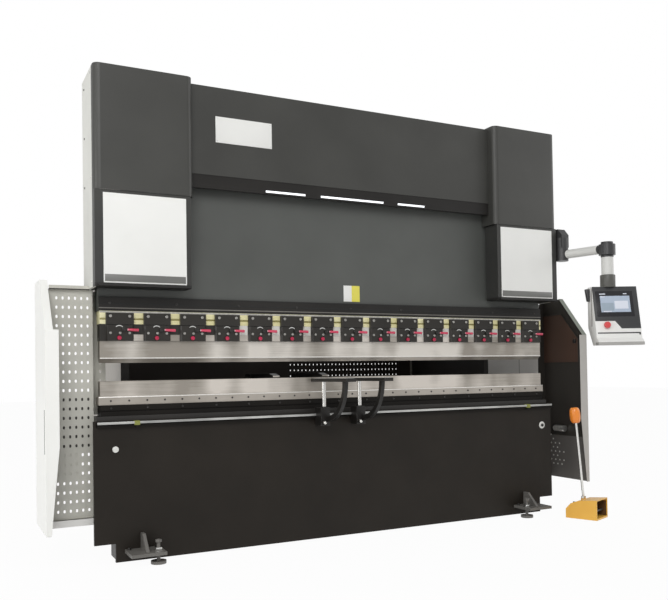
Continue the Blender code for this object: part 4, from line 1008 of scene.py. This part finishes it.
# Foot pedal: a moulded yellow hood with a black treadle in it, and an upright steel
# rod with an orange grip, by which it is moved about.
hood_yellow = dipped_plastic("hood_yellow", (0.95, 0.50, 0.060), (1.0, 0.60, 0.095), 0.36)
grip_orange = dipped_plastic("grip_orange", (0.95, 0.26, 0.025), (1.0, 0.36, 0.050), 0.32)
put_finish(hood_yellow, "pedal_hood")
put_finish(oil_black, "pedal_treadle")
rod_low, rod_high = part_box("pedal_rod")
rod_foot = Vector(((rod_low.x + rod_high.x) / 2, (rod_low.y + rod_high.y) / 2, rod_low.z))
rod_head = rod_foot + Vector((-0.038, 0.019, rod_high.z - rod_low.z))
rod_way = (rod_head - rod_foot).normalized()
rod = bmesh.new()
turn_bar(rod, rod_foot, rod_way, 0.0085, (rod_head - rod_foot).length, 20)
turn_bar(rod, rod_foot, UP, 0.016, 0.014, 24)
leaning_rod = finish_piece("leaning_rod", rod, post_chrome, "frame")
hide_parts("pedal_rod")
GRIP_RADIUS, GRIP_HIGH, GRIP_BULGE = 0.036, 0.108, 0.36
grip = bmesh.new()
bmesh.ops.create_uvsphere(grip, u_segments=28, v_segments=16, radius=1.0)
for vert in grip.verts:
    across = math.hypot(vert.co.x, vert.co.y)
    grow = GRIP_RADIUS * across ** GRIP_BULGE / across if across > 1e-6 else 0.0
    vert.co = Vector((vert.co.x * grow, vert.co.y * grow, vert.co.z * GRIP_HIGH / 2))
aim = rod_way.to_track_quat("Z", "Y").to_matrix().to_4x4()
bmesh.ops.transform(grip, verts=grip.verts,
                    matrix=Matrix.Translation(rod_head + rod_way * GRIP_HIGH / 2) @ aim)
leaning_grip = finish_piece("leaning_grip", grip, grip_orange, "frame", smooth=50)
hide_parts("pedal_cap")
HOOD_MIDDLE, HOOD_TURN = Vector((1.620, -1.115, 0)), 22.0
HOOD_HALF, HOOD_FLOOR, HOOD_MOUTH, HOOD_BACK = 0.0825, 0.0125, -0.104, 0.060
# Dark brown plates along the hood's inner walls and back: painted shade for its dim inside.
hood_shade = sprayed_paint("hood_shade", (0.10, 0.045, 0.012), (0.14, 0.065, 0.018), 0.6, peel=0.0)
turned_bars("hood_painted_shade", [((-HOOD_HALF - 0.001, HOOD_MOUTH, HOOD_FLOOR),
                             (-HOOD_HALF, HOOD_BACK, 0.114)),
                            ((HOOD_HALF, HOOD_MOUTH, HOOD_FLOOR),
                             (HOOD_HALF + 0.001, HOOD_BACK, 0.114)),
                            ((-HOOD_HALF, HOOD_BACK, HOOD_FLOOR),
                             (HOOD_HALF, HOOD_BACK + 0.001, 0.098))],
            Matrix.Translation(HOOD_MIDDLE) @ Matrix.Rotation(math.radians(HOOD_TURN), 4, "Z"),
            hood_shade, "frame")


# Studio: a pale floor under three soft lamps, in a white surround. Camera and gloss see
# both lit evenly, and the camera stands at the photograph's view.
def seen_by(tree, *rays):
    """A value of 1 for the named kinds of ray, and 0 for the rest."""
    share = add_node(tree, "LightPath", {}, "Is " + rays[0] + " Ray")
    for ray in rays[1:]:
        also = add_node(tree, "LightPath", {}, "Is " + ray + " Ray")
        share = add_node(tree, "Math", {0: share, 1: also}, operation="MAXIMUM")
    return share


FLOOR_SHARE = 0.96
floor_pale, floor_tree, floor_shader = new_finish("floor_pale")
feed(floor_tree, floor_shader, {"Base Color": (0.82, 0.82, 0.82, 1), "Roughness": 0.9})
any_seen = seen_by(floor_tree, "Camera", "Glossy", "Transmission")
part_seen = add_node(floor_tree, "Math", {0: any_seen, 1: FLOOR_SHARE}, operation="MULTIPLY")
floor_mix = add_node(floor_tree, "MixShader", {
    0: part_seen, 1: floor_shader.outputs["BSDF"],
    2: add_node(floor_tree, "Emission", {"Strength": 1.0})})
feed(floor_tree, floor_tree.nodes["Material Output"], {"Surface": floor_mix})
floor_shape = bmesh.new()
bmesh.ops.create_grid(floor_shape, x_segments=1, y_segments=1, size=30)
floor_mesh = bpy.data.meshes.new("floor")
floor_shape.to_mesh(floor_mesh)
floor_shape.free()
floor_mesh.materials.append(floor_pale)
floor = bpy.data.objects.new("floor", floor_mesh)
bpy.context.scene.collection.objects.link(floor)

SURROUND_LEVEL, GLOSS_SHARE = 0.46, 0.35
world = bpy.data.worlds.new("studio")
bpy.context.scene.world = world
world.use_nodes = True
tree = world.node_tree
sky_seen = add_node(tree, "Math", {0: seen_by(tree, "Glossy"), 1: GLOSS_SHARE,
                                   2: seen_by(tree, "Camera", "Transmission")},
                    operation="MULTIPLY_ADD")
feed(tree, tree.nodes["Background"], {"Color": (1, 1, 1, 1),
                                      "Strength": spread(tree, sky_seen, SURROUND_LEVEL, 1.0)})


def soft_lamp(name, place, aim, size, power):
    """A large soft box, aimed at a point."""
    lamp = bpy.data.lights.new(name, "AREA")
    lamp.shape = "DISK"
    lamp.size = size
    lamp.energy = power
    item = bpy.data.objects.new(name, lamp)
    item.location = place
    item.rotation_euler = (Vector(aim) - Vector(place)).to_track_quat("-Z", "Y").to_euler()
    bpy.context.scene.collection.objects.link(item)


soft_lamp("key_lamp", (-3.6, -6.4, 5.0), (0, -0.5, 1.3), 4.0, 210)
soft_lamp("fill_lamp", (7.5, -3.6, 4.2), (0, -0.5, 1.2), 4.0, 90)
soft_lamp("side_lamp", (-7.0, -1.8, 2.2), (-1.6, -0.6, 1.0), 3.0, 95)

PHOTO_WIDE, PHOTO_HIGH = 668, 600
LENS_PX, MIDDLE_ROW = 782.3, 357.6
STAND = (-2.340, -5.147, 1.019)
YAW, TILT, ROLL = -26.81, 91.1, -0.92
camera = bpy.data.cameras.new("camera")
camera.sensor_fit = "HORIZONTAL"
camera.lens = camera.sensor_width * LENS_PX / PHOTO_WIDE
camera.shift_y = (MIDDLE_ROW - PHOTO_HIGH / 2) / PHOTO_WIDE
viewer = bpy.data.objects.new("camera", camera)
viewer.matrix_world = (Matrix.Translation(STAND) @ Matrix.Rotation(math.radians(YAW), 4, "Z")
                       @ Matrix.Rotation(math.radians(TILT), 4, "X")
                       @ Matrix.Rotation(math.radians(ROLL), 4, "Z"))
bpy.context.scene.collection.objects.link(viewer)
bpy.context.scene.camera = viewer
bpy.context.scene.view_settings.view_transform = "Standard"
